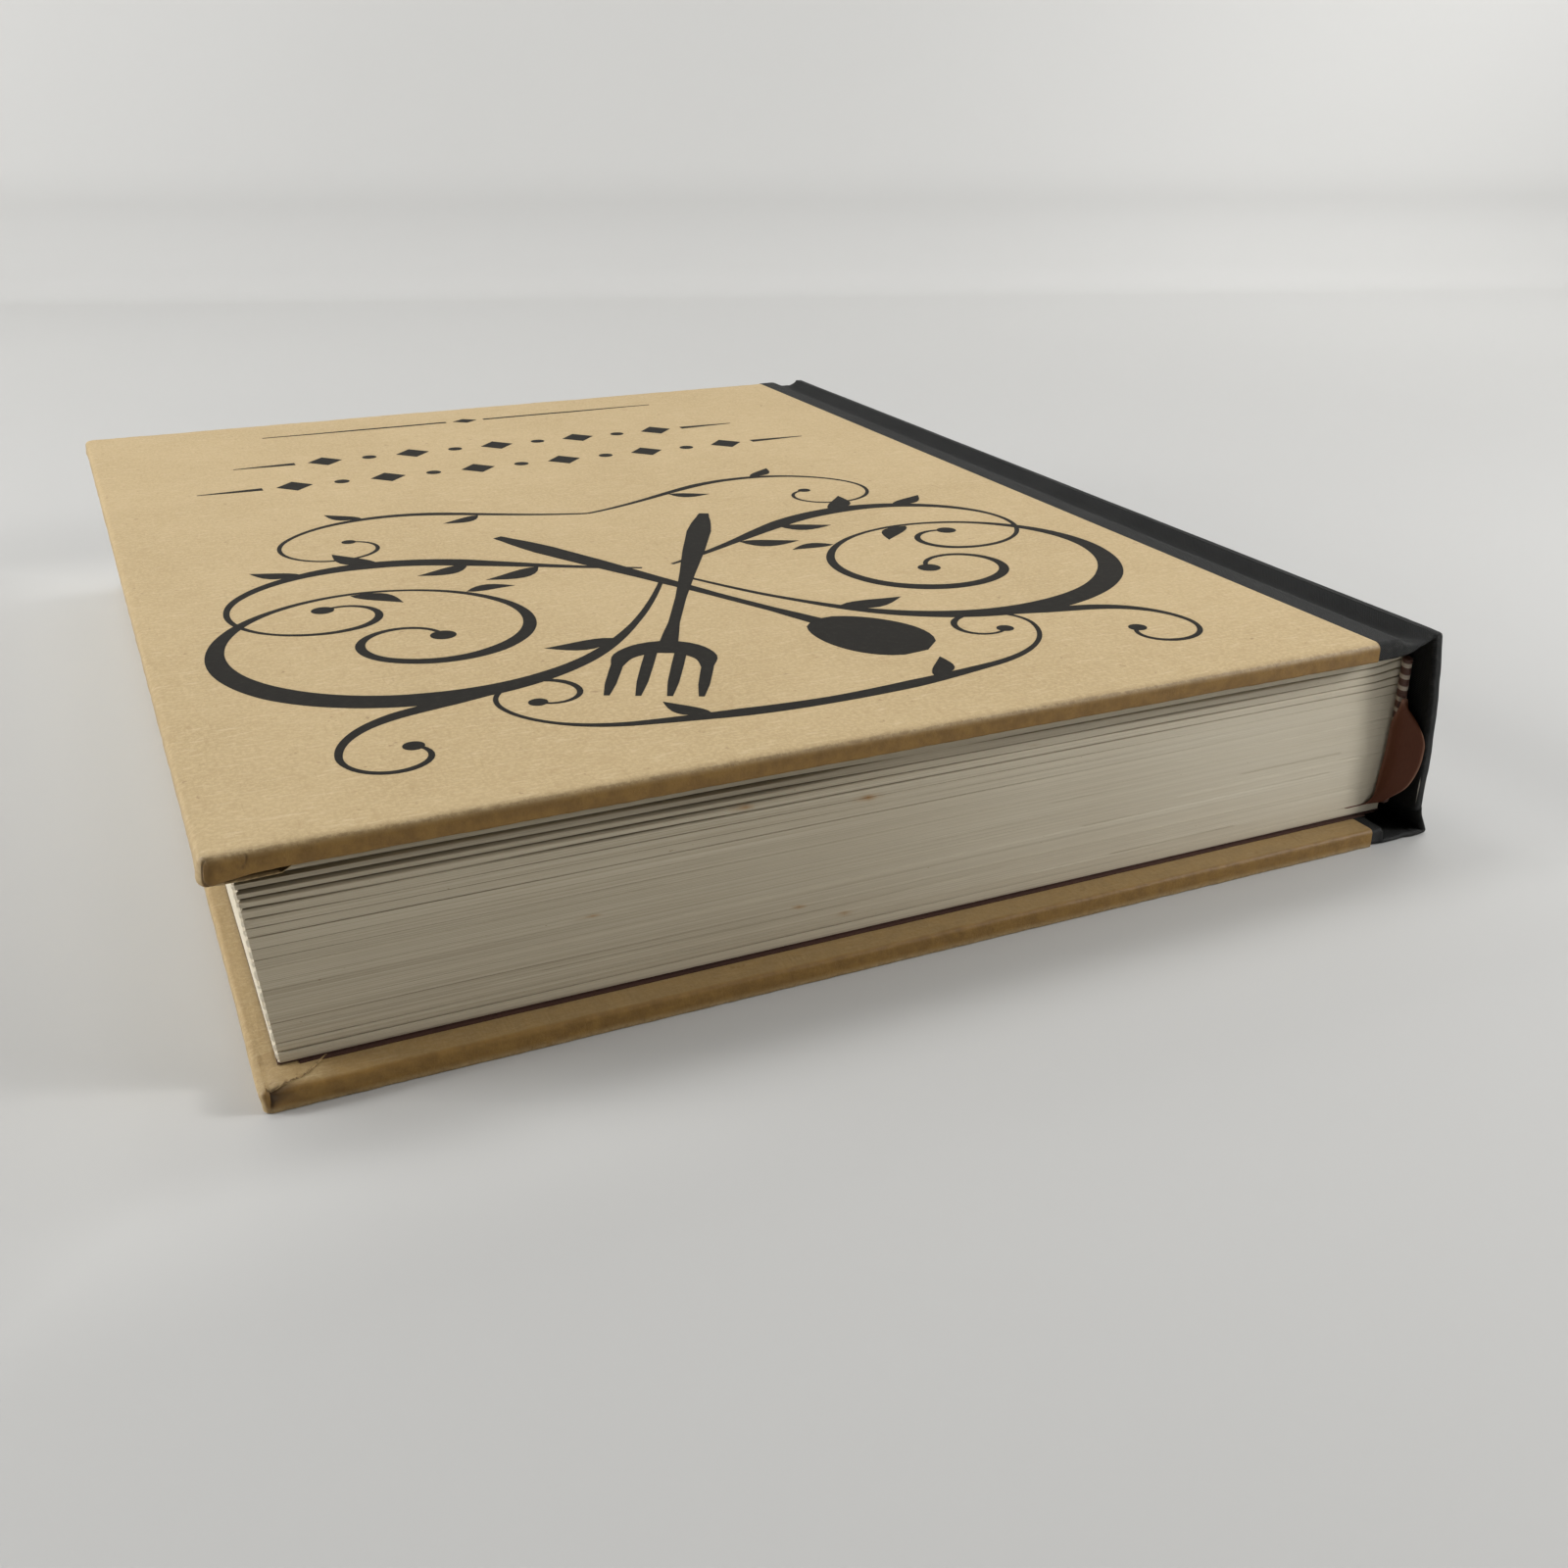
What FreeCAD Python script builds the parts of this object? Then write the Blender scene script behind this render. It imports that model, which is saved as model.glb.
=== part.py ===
import FreeCAD, Part
import os
import re

import Sketcher

# A quarter-bound hardcover book, closed, lying on its rear cover.
# X runs from the spine to the fore-edge, Y from the tail to the head, Z up from the surface it lies on.
# The origin is the middle of its footprint. Millimetres throughout.

SIZES = {
    # pages
    "page_width": 191.6,
    "page_height": 245.0,
    "section_count": 20,
    "section_thickness": 1.54,
    "block_lean": 2.5,
    "head_square": 5.7,
    "tail_square": 3.3,
    "fore_square": 2.25,
    "scallop_depth": 0.45,
    "scallop_height": 0.9,
    "gap_depth": 1.1,
    "open_gap_count": 6,
    "open_gap_width": 0.55,
    "tight_gap_width": 0.2,
    # endpapers and the gap that lets a cover lift off them
    "endpaper_thickness": 0.2,
    "endpaper_margin": 5.0,
    "cover_gap": 0.1,
    # covers
    "board_thickness": 2.8,
    "covering_thickness": 0.3,
    "turn_in": 15.0,
    "edge_round": 0.7,
    "front_cloth_width": 4.8,
    "rear_cloth_width": 2.75,
    "front_shift": 3.25,
    "seam_width": 0.2,
    "seam_depth": 0.2,
    "seam_kink": 3.7,
    "seam_offset": 1.2,
    # spine and joints
    "spine_thickness": 2.1,
    "spine_curve": 160.0,
    "ridge_clearance": 0.1,
    "pinch_height": 5.25,
    "flare_out": 2.2,
    "front_joint_width": 9.2,
    "rear_joint_width": 10.65,
    "front_hinge_inset": 5.5,
    "rear_hinge_inset": 6.75,
    "joint_thickness": 1.1,
    "joint_gap": 0.3,
    "groove_curve": 3.65,
    "groove_rise": 1.7,
    "groove_inset": 4.15,
    # spine linings, bands and marker ribbon
    "lining_thickness": 0.3,
    "lining_inset": 1.0,
    "band_skirt": 10.0,
    "band_radius": 0.9,
    "band_overhang": 0.8,
    "band_inset": 1.5,
    "band_pitch": 2.06,
    "band_notch": 0.25,
    "ribbon_width": 7.0,
    "ribbon_thickness": 0.25,
    "ribbon_clearance": 0.1,
    "ribbon_length": 190.0,
    "ribbon_top": 21.5,
    "ribbon_reach": 5.4,
}

# Places that follow from the sizes. A name used in a formula is a size or another place.
PLACES = {
    "cover_height": "page_height + head_square + tail_square",
    "block_thickness": "section_count * section_thickness",
    "wrap_thickness": "board_thickness + 2 * covering_thickness",
    "cover_stack": "wrap_thickness + endpaper_thickness",
    "block_floor": "cover_stack + cover_gap + endpaper_thickness",
    "total_thickness": "2 * block_floor + block_thickness",
    "case_set_in": "front_joint_width - spine_thickness - ridge_clearance - front_shift",
    "cover_width": "page_width + fore_square - case_set_in",
    "overall_width": "cover_width + front_shift + rear_joint_width",
    "front_near": "overall_width / 2 - cover_width",
    "rear_near": "front_near - front_shift",
    "flare_x": "-overall_width / 2",
    "pinch_x": "flare_x + flare_out",
    "ridge_x": "front_near - front_joint_width",
    "block_back": "ridge_x + spine_thickness + ridge_clearance",
    "block_top": "block_floor + block_thickness",
    "block_head": "cover_height / 2 - head_square",
    "block_tail": "block_head - page_height",
    "front_hinge_x": "front_near - front_hinge_inset",
    "front_hinge_z": "total_thickness - wrap_thickness",
    "rear_hinge_x": "rear_near - rear_hinge_inset",
    # centre of the arc that the outer face of the spine follows from the pinch to the ridge
    "arc_lean": "ridge_x - pinch_x",
    "arc_rise": "total_thickness - pinch_height",
    "arc_chord": "sqrt(arc_lean ^ 2 + arc_rise ^ 2)",
    "arc_height": "sqrt(spine_curve ^ 2 - arc_chord ^ 2 / 4)",
    "spine_centre_x": "(pinch_x + ridge_x) / 2 + arc_height * arc_rise / arc_chord",
    "spine_centre_z": "(pinch_height + total_thickness) / 2 - arc_height * arc_lean / arc_chord",
    "hollow_x": "spine_centre_x + spine_thickness - spine_curve",
    "slot_height": "ribbon_thickness + 2 * ribbon_clearance",
    "slot_from": "band_radius * 2 - band_overhang + ribbon_clearance",
}

doc = FreeCAD.newDocument("book")
sheet = doc.addObject("Spreadsheet::Sheet", "Sizes")
for row, (alias, value) in enumerate(SIZES.items(), start=1):
    sheet.set(f"A{row}", alias)
    sheet.set(f"B{row}", str(value))
    sheet.setAlias(f"B{row}", alias)
doc.recompute()

NODES = []


def formula(text):
    """An expression on the sheet's cells, with each place written out in full."""
    def full(match):
        word = match.group(0)
        if word in PLACES:
            return "(" + formula(PLACES[word]) + ")"
        return "Sizes." + word if word in SIZES else word

    return re.sub(r"[a-z][a-z_]+", full, str(text))


def value(text):
    """The number that a formula gives now."""
    return float(sheet.evalExpression(formula(text)))


def bind(item, **sizes):
    """Ties properties of an object to formulas; a double underscore stands for a dot."""
    for name, text in sizes.items():
        item.setExpression(name.replace("__", "."), formula(text))


def node(item, name):
    """Names an object that is a piece of the book."""
    item.Label = name
    NODES.append(item)
    return item


def sketch_on(body, name, role, offset=None):
    """An empty sketch on one of the body's own origin planes."""
    sketch = body.newObject("Sketcher::SketchObject", name)
    plane = next(o for o in body.Origin.OriginFeatures if o.Role == role)
    sketch.AttachmentSupport = [(plane, "")]
    sketch.MapMode = "FlatFace"
    if offset:
        bind(sketch, AttachmentOffset__Base__z=offset)
    return sketch


def fix_point(sketch, geometry, corner, across, up):
    """Holds a point of a sketch at two formulas, measured from the sketch's origin."""
    for kind, text in (("DistanceX", across), ("DistanceY", up)):
        constraint = Sketcher.Constraint(kind, -1, 1, geometry, corner, value(text))
        index = sketch.addConstraint(constraint)
        sketch.setExpression(f"Constraints[{index}]", formula(text))


def outline(sketch, points):
    """A closed outline of straight lines through corner points given as formulas."""
    corners = [FreeCAD.Vector(value(a), value(b), 0) for a, b in points]
    count = len(corners)
    lines = [
        sketch.addGeometry(Part.LineSegment(corners[i], corners[(i + 1) % count]), False)
        for i in range(count)
    ]
    for i, line in enumerate(lines):
        sketch.addConstraint(Sketcher.Constraint("Coincident", line, 2, lines[(i + 1) % count], 1))
        fix_point(sketch, line, 1, *points[i])
    return sketch


def rectangle(sketch, left, right, low, high):
    return outline(sketch, [(left, low), (right, low), (right, high), (left, high)])


def symmetric_pad(body, sketch, length):
    """A pad that grows both ways from the middle of the book."""
    pad = body.newObject("PartDesign::Pad", "Pad")
    pad.Profile = sketch
    pad.SideType = "Symmetric"
    bind(pad, Length=length)
    doc.recompute()
    return pad


def symmetric_pocket(body, sketch, length=None):
    """A pocket both ways from the sketch: to a length, or through everything."""
    before = body.Tip.Shape.Volume
    pocket = body.newObject("PartDesign::Pocket", "Pocket")
    pocket.Profile = sketch
    pocket.SideType = "Symmetric"
    if length is None:
        pocket.Type = "ThroughAll"
    else:
        bind(pocket, Length=length)
    doc.recompute()
    if pocket.Shape.Volume > before - 1e-6:
        raise RuntimeError(f"{body.Label}: {sketch.Label} cuts nothing")
    return pocket


def repeat(body, feature, axis, spacing, count):
    """Copies a feature along an axis of a sketch; it becomes the body's tip."""
    pattern = body.newObject("PartDesign::LinearPattern", "Pattern")
    pattern.Originals = [feature]
    pattern.Direction = axis
    pattern.Mode = "Spacing"
    bind(pattern, Offset=spacing, Occurrences=count)
    body.Tip = pattern
    doc.recompute()
    return pattern


def round_edges(body, radius, chosen):
    """Fillets the edges of the body's tip whose middle point passes a test."""
    tip = body.Tip
    names = []
    for i, edge in enumerate(tip.Shape.Edges, start=1):
        middle = edge.valueAt((edge.FirstParameter + edge.LastParameter) / 2)
        if chosen(middle):
            names.append(f"Edge{i}")
    fillet = body.newObject("PartDesign::Fillet", "Fillet")
    fillet.Base = (tip, names)
    bind(fillet, Radius=radius)
    doc.recompute()
    return fillet


def new_body(name):
    body = doc.addObject("PartDesign::Body", name)
    body.Label = name
    return body


def place(item, along_x="0", along_y="0", along_z="0", turn=None):
    """Puts an object at formulas, turned over first where a rotation is given."""
    if turn:
        item.Placement = FreeCAD.Placement(FreeCAD.Vector(), turn)
    bind(item, Placement__Base__x=along_x, Placement__Base__y=along_y, Placement__Base__z=along_z)
    return item


def slab(name, spans):
    """A plain flat sheet or board between formulas: (x from, to), (y from, to), (z from, to)."""
    box = doc.addObject("Part::Box", name)
    starts = [start for start, end in spans]
    extents = [f"({end}) - ({start})" for start, end in spans]
    bind(box, Length=extents[0], Width=extents[1], Height=extents[2])
    return place(box, *starts)


# --- the pages -------------------------------------------------------------------------------------


def fold_cusp(sketch):
    """The hollow between two rounded back folds: two quarter rounds and a line across their ends."""
    radius = "section_thickness / 2"
    low = FreeCAD.Vector(value(radius), value(radius), 0)
    high = FreeCAD.Vector(value(radius), value("section_thickness * 3 / 2"), 0)
    axis = FreeCAD.Vector(0, 0, 1)
    half_pi = 1.5707963267948966
    lower = sketch.addGeometry(
        Part.ArcOfCircle(Part.Circle(low, axis, value(radius)), half_pi, 2 * half_pi), False)
    upper = sketch.addGeometry(
        Part.ArcOfCircle(Part.Circle(high, axis, value(radius)), 2 * half_pi, 3 * half_pi), False)
    side = sketch.addGeometry(
        Part.LineSegment(FreeCAD.Vector(0, high.y, 0), FreeCAD.Vector(0, low.y, 0)), False)
    sketch.addConstraint(Sketcher.Constraint("Coincident", lower, 1, upper, 2))
    sketch.addConstraint(Sketcher.Constraint("Coincident", upper, 1, side, 1))
    sketch.addConstraint(Sketcher.Constraint("Coincident", side, 2, lower, 2))
    fix_point(sketch, side, 2, "0", radius)
    fix_point(sketch, side, 1, "0", "section_thickness * 3 / 2")
    fix_point(sketch, lower, 1, radius, "section_thickness")
    index = sketch.addConstraint(Sketcher.Constraint("Radius", lower, value(radius)))
    sketch.setExpression(f"Constraints[{index}]", formula(radius))
    index = sketch.addConstraint(Sketcher.Constraint("Radius", upper, value(radius)))
    sketch.setExpression(f"Constraints[{index}]", formula(radius))
    return sketch


def end_notch(sketch, width, at):
    """The V between two sections where they part, at the head and at the tail of the pages."""
    for side in (1, -1):
        edge = f"{side} * page_height / 2"
        outline(sketch, [
            (edge, f"{at} - {width} / 2"),
            (edge, f"{at} + {width} / 2"),
            (f"{edge} - {side} * gap_depth", at),
        ])
    return sketch


def make_text_block():
    """Folded sections in one solid: rounded folds, parted ends, a leaning scalloped fore-edge."""
    body = new_body("text_block")
    block = outline(sketch_on(body, "page_outline", "XZ_Plane"), [
        ("0", "0"),
        ("page_width", "0"),
        ("page_width + block_lean", "block_thickness"),
        ("0", "block_thickness"),
    ])
    symmetric_pad(body, block, "page_height")

    folds = symmetric_pocket(body, fold_cusp(sketch_on(body, "back_folds", "XZ_Plane")))
    repeat(body, folds, (folds.Profile[0], ["V_Axis"]), "section_thickness", "section_count - 1")

    lean = "block_lean / section_count"
    scallop = sketch_on(body, "fore_edge_scallop", "XZ_Plane")
    outline(scallop, [
        (f"page_width + {lean} - block_lean / block_thickness * scallop_height / 2",
         "section_thickness - scallop_height / 2"),
        (f"page_width + {lean} + block_lean / block_thickness * scallop_height / 2",
         "section_thickness + scallop_height / 2"),
        (f"page_width + {lean} - scallop_depth", "section_thickness"),
    ])
    guide = scallop.addGeometry(
        Part.LineSegment(
            FreeCAD.Vector(value("page_width"), 0, 0),
            FreeCAD.Vector(value("page_width + block_lean"), value("block_thickness"), 0)),
        True)
    fix_point(scallop, guide, 1, "page_width", "0")
    fix_point(scallop, guide, 2, "page_width + block_lean", "block_thickness")
    cut = symmetric_pocket(body, scallop)
    slope_step = "section_thickness * sqrt(1 + (block_lean / block_thickness) ^ 2)"
    repeat(body, cut, (scallop, ["Axis0"]), slope_step, "section_count - 1")

    tight = end_notch(sketch_on(body, "tight_gaps", "YZ_Plane"), "tight_gap_width", "section_thickness")
    cut = symmetric_pocket(body, tight)
    repeat(body, cut, (tight, ["V_Axis"]), "section_thickness", "section_count - 1 - open_gap_count")

    first_open = "section_thickness * (section_count - open_gap_count)"
    parted = end_notch(sketch_on(body, "open_gaps", "YZ_Plane"), "open_gap_width", first_open)
    cut = symmetric_pocket(body, parted)
    repeat(body, cut, (parted, ["V_Axis"]), "section_thickness", "open_gap_count")

    slot = sketch_on(body, "ribbon_slot", "XZ_Plane", offset="-page_height / 2")
    rectangle(
        slot,
        "slot_from",
        "slot_from + ribbon_width + 2 * ribbon_clearance",
        "section_thickness - slot_height / 2",
        "section_thickness + slot_height / 2")
    pocket = body.newObject("PartDesign::Pocket", "RibbonSlot")
    pocket.Profile = slot
    pocket.Reversed = True
    bind(pocket, Length="ribbon_length + ribbon_clearance")
    doc.recompute()
    place(body, "block_back", "block_head - page_height / 2", "block_floor")
    return node(body, "text_block")


def make_flyleaves():
    """The free halves of the endpapers, flat against the outermost sections."""
    pages = ("block_tail", "block_head")
    rear = slab("rear_flyleaf", [
        ("block_back", "block_back + page_width"),
        pages,
        ("block_floor - endpaper_thickness", "block_floor"),
    ])
    front = slab("front_flyleaf", [
        ("block_back", "block_back + page_width + block_lean"),
        pages,
        ("block_top", "block_top + endpaper_thickness"),
    ])
    return node(rear, "rear_flyleaf"), node(front, "front_flyleaf")


# --- linings, bands and ribbon on the back of the pages -------------------------------------------------


def make_spine_lining():
    """Paper glued over the folds, between the skirts of the two bands."""
    lining = slab("spine_lining", [
        ("block_back - lining_thickness", "block_back"),
        ("block_tail + band_skirt", "block_head - band_skirt"),
        ("block_floor + lining_inset", "block_top - lining_inset"),
    ])
    return node(lining, "spine_lining")


def make_band(name, head):
    """A bead wound with thread, seated on the end of the folds, with the skirt it is glued by."""
    body = new_body(name)
    length = "block_thickness - 2 * band_inset"
    bead_centre = ("band_radius - band_overhang", "band_radius")

    skirt = rectangle(
        sketch_on(body, "skirt", "XY_Plane"), "-lining_thickness", "0", "-band_skirt", "band_radius")
    pad = body.newObject("PartDesign::Pad", "Skirt")
    pad.Profile = skirt
    bind(pad, Length=length)

    bead = sketch_on(body, "bead", "XY_Plane")
    middle = FreeCAD.Vector(value(bead_centre[0]), value(bead_centre[1]), 0)
    circle = bead.addGeometry(
        Part.Circle(middle, FreeCAD.Vector(0, 0, 1), value("band_radius")), False)
    fix_point(bead, circle, 3, *bead_centre)
    index = bead.addConstraint(Sketcher.Constraint("Radius", circle, value("band_radius")))
    bead.setExpression(f"Constraints[{index}]", formula("band_radius"))
    pad = body.newObject("PartDesign::Pad", "Bead")
    pad.Profile = bead
    bind(pad, Length=length)
    doc.recompute()

    # a shallow notch round the front of the bead at each change of thread
    notch = outline(sketch_on(body, "thread_notch", "YZ_Plane"), [
        ("2 * band_radius", "band_pitch - band_notch"),
        ("2 * band_radius", "band_pitch + band_notch"),
        ("2 * band_radius - band_notch", "band_pitch"),
    ])
    cut = symmetric_pocket(body, notch)
    turns = int(value(length) / value("band_pitch")) - 1
    repeat(body, cut, (notch, ["V_Axis"]), "band_pitch", str(turns))

    turn = None if head else FreeCAD.Rotation(FreeCAD.Vector(1, 0, 0), 180)
    end = "block_head" if head else "block_tail"
    foot = "block_floor + band_inset" if head else "block_top - band_inset"
    place(body, "block_back", end, foot, turn)
    return node(body, name)


def make_ribbon():
    """The marker: glued on the head band's skirt, bowed over the bead and laid in between the pages.

    Each row is the ribbon's edge on the page side and its edge on the spine side, from the glued end.
    """
    width = value("ribbon_width")
    thickness = value("ribbon_thickness")
    clear = value("ribbon_clearance")
    back = value("block_back")
    head = value("block_head")
    slot_z = value("block_floor + section_thickness")
    top = value("block_floor + ribbon_top")
    bead_back = value("block_back - band_overhang") - thickness - clear
    bead_front = value("block_head + 2 * band_radius") + thickness + clear
    skirt_face = value("block_back - lining_thickness") - thickness / 2
    bow = value("hollow_x") + 2 * thickness + clear
    reach = head + value("ribbon_reach")
    inner = back + value("slot_from") + clear
    rows = [
        ((skirt_face, head - value("band_skirt"), top), (skirt_face, head - value("band_skirt"), top - width)),
        ((skirt_face, head - 2.0, top), (skirt_face, head - 2.0, top - width)),
        ((bead_back, head + 0.5, top), (bead_back, head + 0.5, top - width)),
        ((bead_back + 0.5, bead_front + 0.3, top + 0.4), (bead_back - 0.4, bead_front + 1.2, top - 5.6)),
        ((inner - 0.4, bead_front, top - 1.5), (bow, reach - 0.5, top - 6.5)),
        ((inner - 0.4, bead_front - 0.1, top - 9.0), (bow, reach, top - 9.5)),
        ((inner - 0.2, bead_front - 0.2, top - 14.0), (bow + 0.6, reach - 1.2, top - 14.5)),
        ((inner + 1.4, head + 0.8, slot_z + 1.0), (inner - 0.6, bead_front + 0.2, slot_z + 1.6)),
        ((inner + 3.2, head + 0.1, slot_z), (inner, head + 0.1, slot_z)),
        ((inner + width, head - 12.0, slot_z), (inner, head - 12.0, slot_z)),
        ((inner + width, head - value("ribbon_length"), slot_z), (inner, head - value("ribbon_length"), slot_z)),
    ]
    edges = [(FreeCAD.Vector(*page), FreeCAD.Vector(*spine)) for page, spine in rows]
    sections = []
    for i, (page, spine) in enumerate(edges):
        before = edges[max(i - 1, 0)]
        after = edges[min(i + 1, len(edges) - 1)]
        along = (after[0] + after[1]) - (before[0] + before[1])
        normal = along.cross(spine - page).normalize() * (thickness / 2)
        corners = [page + normal, page - normal, spine - normal, spine + normal]
        sections.append(Part.makePolygon(corners + corners[:1]))
    ribbon = doc.addObject("Part::Feature", "ribbon_marker")
    ribbon.Shape = Part.makeLoft(sections[::-1], True, True)
    return node(ribbon, "ribbon_marker")


# --- the spine and its joints --------------------------------------------------------------------------


def spine_strip(sketch, outer, inner, low, high):
    """A strip of the spine's curve: between two depths from its outer face and two heights."""
    arcs = []
    for depth in (outer, inner):
        centre_x = f"spine_centre_x + {depth}"
        centre = FreeCAD.Vector(value(centre_x), value("spine_centre_z"), 0)
        radius = value("spine_curve")
        ends = []
        for height in (high, low):
            drop = value(height) - centre.y
            ends.append(FreeCAD.Vector(centre.x - (radius ** 2 - drop ** 2) ** 0.5, value(height), 0))
        circle = Part.Circle(centre, FreeCAD.Vector(0, 0, 1), radius)
        angles = [circle.parameter(end) for end in ends]
        arc = sketch.addGeometry(Part.ArcOfCircle(circle, *angles), False)
        fix_point(sketch, arc, 3, centre_x, "spine_centre_z")
        index = sketch.addConstraint(Sketcher.Constraint("Radius", arc, radius))
        sketch.setExpression(f"Constraints[{index}]", formula("spine_curve"))
        for corner, height in ((1, high), (2, low)):
            index = sketch.addConstraint(
                Sketcher.Constraint("DistanceY", -1, 1, arc, corner, value(height)))
            sketch.setExpression(f"Constraints[{index}]", formula(height))
        arcs.append((arc, ends))
    (first, first_ends), (second, second_ends) = arcs
    for corner, (a, b) in enumerate(zip(first_ends, second_ends), start=1):
        line = sketch.addGeometry(Part.LineSegment(a, b), False)
        sketch.addConstraint(Sketcher.Constraint("Coincident", line, 1, first, corner))
        sketch.addConstraint(Sketcher.Constraint("Coincident", line, 2, second, corner))
    return sketch


def make_spine_board():
    body = new_body("spine_board")
    strip = spine_strip(
        sketch_on(body, "board_section", "XZ_Plane"),
        "covering_thickness",
        "spine_thickness - covering_thickness",
        "pinch_height",
        "total_thickness - covering_thickness")
    symmetric_pad(body, strip, "cover_height - 2 * covering_thickness")
    place(body)
    return node(body, "spine_board")


def make_spine_cloth():
    """Cloth round the spine board: the outer face, the ridge, both ends and the turn-ins inside."""
    body = new_body("spine_cloth")
    whole = spine_strip(
        sketch_on(body, "spine_section", "XZ_Plane"),
        "0", "spine_thickness", "pinch_height", "total_thickness")
    symmetric_pad(body, whole, "cover_height")
    board = spine_strip(
        sketch_on(body, "board_space", "XZ_Plane"),
        "covering_thickness",
        "spine_thickness - covering_thickness",
        "pinch_height",
        "total_thickness - covering_thickness")
    symmetric_pocket(body, board, "cover_height - 2 * covering_thickness")
    bare = spine_strip(
        sketch_on(body, "between_turn_ins", "XZ_Plane"),
        "spine_thickness - covering_thickness",
        "spine_thickness",
        "pinch_height",
        "total_thickness - covering_thickness")
    symmetric_pocket(body, bare, "cover_height - 2 * turn_in")
    place(body)
    return node(body, "spine_cloth")


def along_book(name, radius, at_x, at_z):
    """A round bar the full height of the book, used to bound the joints."""
    bar = doc.addObject("Part::Cylinder", name)
    bar.Placement = FreeCAD.Placement(FreeCAD.Vector(), FreeCAD.Rotation(FreeCAD.Vector(1, 0, 0), 90))
    bind(
        bar,
        Radius=radius,
        Height="cover_height",
        Placement__Base__x=at_x,
        Placement__Base__y="cover_height / 2",
        Placement__Base__z=at_z)
    return bar


def make_front_joint():
    """The trough of the front joint, ended clear of the circle that the cover's edge swings on."""
    centre = ("front_near - groove_inset", "total_thickness + groove_rise")
    outer = along_book("groove_underside", "groove_curve + joint_thickness", *centre)
    inner = along_book("groove_face", "groove_curve", *centre)
    trough = doc.addObject("Part::Cut", "groove_wall")
    trough.Base = outer
    trough.Tool = inner
    swing = along_book(
        "front_swing", "front_hinge_inset - joint_gap", "front_hinge_x", "front_hinge_z")
    hollow = along_book(
        "spine_inside", "spine_curve", "spine_centre_x + spine_thickness", "spine_centre_z")
    joint = doc.addObject("Part::MultiCommon", "front_joint_cloth")
    joint.Shapes = [trough, swing, hollow]
    return node(joint, "front_joint_cloth")


def make_rear_joint():
    """The cloth from the foot of the spine, flared out to the table and back under the rear cover."""
    body = new_body("rear_joint_section")
    section = outline(sketch_on(body, "joint_section", "XZ_Plane"), [
        ("pinch_x", "pinch_height"),
        ("flare_x", "joint_thickness / 4"),
        ("flare_x + joint_thickness / 4", "0"),
        ("rear_near", "0"),
        ("rear_near", "joint_thickness"),
        ("flare_x + joint_thickness * 3 / 2", "joint_thickness"),
        ("pinch_x + joint_thickness", "pinch_height"),
    ])
    symmetric_pad(body, section, "cover_height")
    swing = along_book(
        "rear_swing", "rear_hinge_inset - joint_gap", "rear_hinge_x", "wrap_thickness")
    joint = doc.addObject("Part::Common", "rear_joint_cloth")
    joint.Base = body
    joint.Tool = swing
    return node(joint, "rear_joint_cloth")


# --- a cover -----------------------------------------------------------------------------------------
# A cover is drawn outer face down, with its near edge on the Y axis. The front one is turned over.


def set_cover(item, front):
    if front:
        turn = FreeCAD.Rotation(FreeCAD.Vector(1, 0, 0), 180)
        return place(item, "front_near", "0", "total_thickness", turn)
    return place(item, "rear_near")


def make_board(name, front):
    body = new_body(name)
    section = rectangle(
        sketch_on(body, "board_section", "XZ_Plane"),
        "covering_thickness", "cover_width - covering_thickness",
        "covering_thickness", "covering_thickness + board_thickness")
    symmetric_pad(body, section, "cover_height - 2 * covering_thickness")
    return node(set_cover(body, front), name)


def hollow_wrap(body, start, end, window_end):
    """Leaves a skin round the board, open inside between the turn-ins."""
    board = rectangle(
        sketch_on(body, "board_space", "XZ_Plane"),
        start, end, "covering_thickness", "covering_thickness + board_thickness")
    symmetric_pocket(body, board, "cover_height - 2 * covering_thickness")
    window = rectangle(
        sketch_on(body, "between_turn_ins", "XZ_Plane"),
        "0", window_end, "covering_thickness + board_thickness", "wrap_thickness")
    symmetric_pocket(body, window, "cover_height - 2 * turn_in")


def make_board_cloth(name, front, cloth_width):
    """The strip of spine cloth on the board, with its turn-ins at the head and the tail."""
    body = new_body(name)
    section = rectangle(
        sketch_on(body, "strip_section", "XZ_Plane"), "0", cloth_width, "0", "wrap_thickness")
    symmetric_pad(body, section, "cover_height")
    reach = value("cover_height / 2")
    round_edges(body, "edge_round", lambda m: abs(m.z) < 0.01 and (m.x < 0.01 or abs(abs(m.y) - reach) < 0.01))
    hollow_wrap(body, "covering_thickness", cloth_width, cloth_width)
    return node(set_cover(body, front), name)


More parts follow.
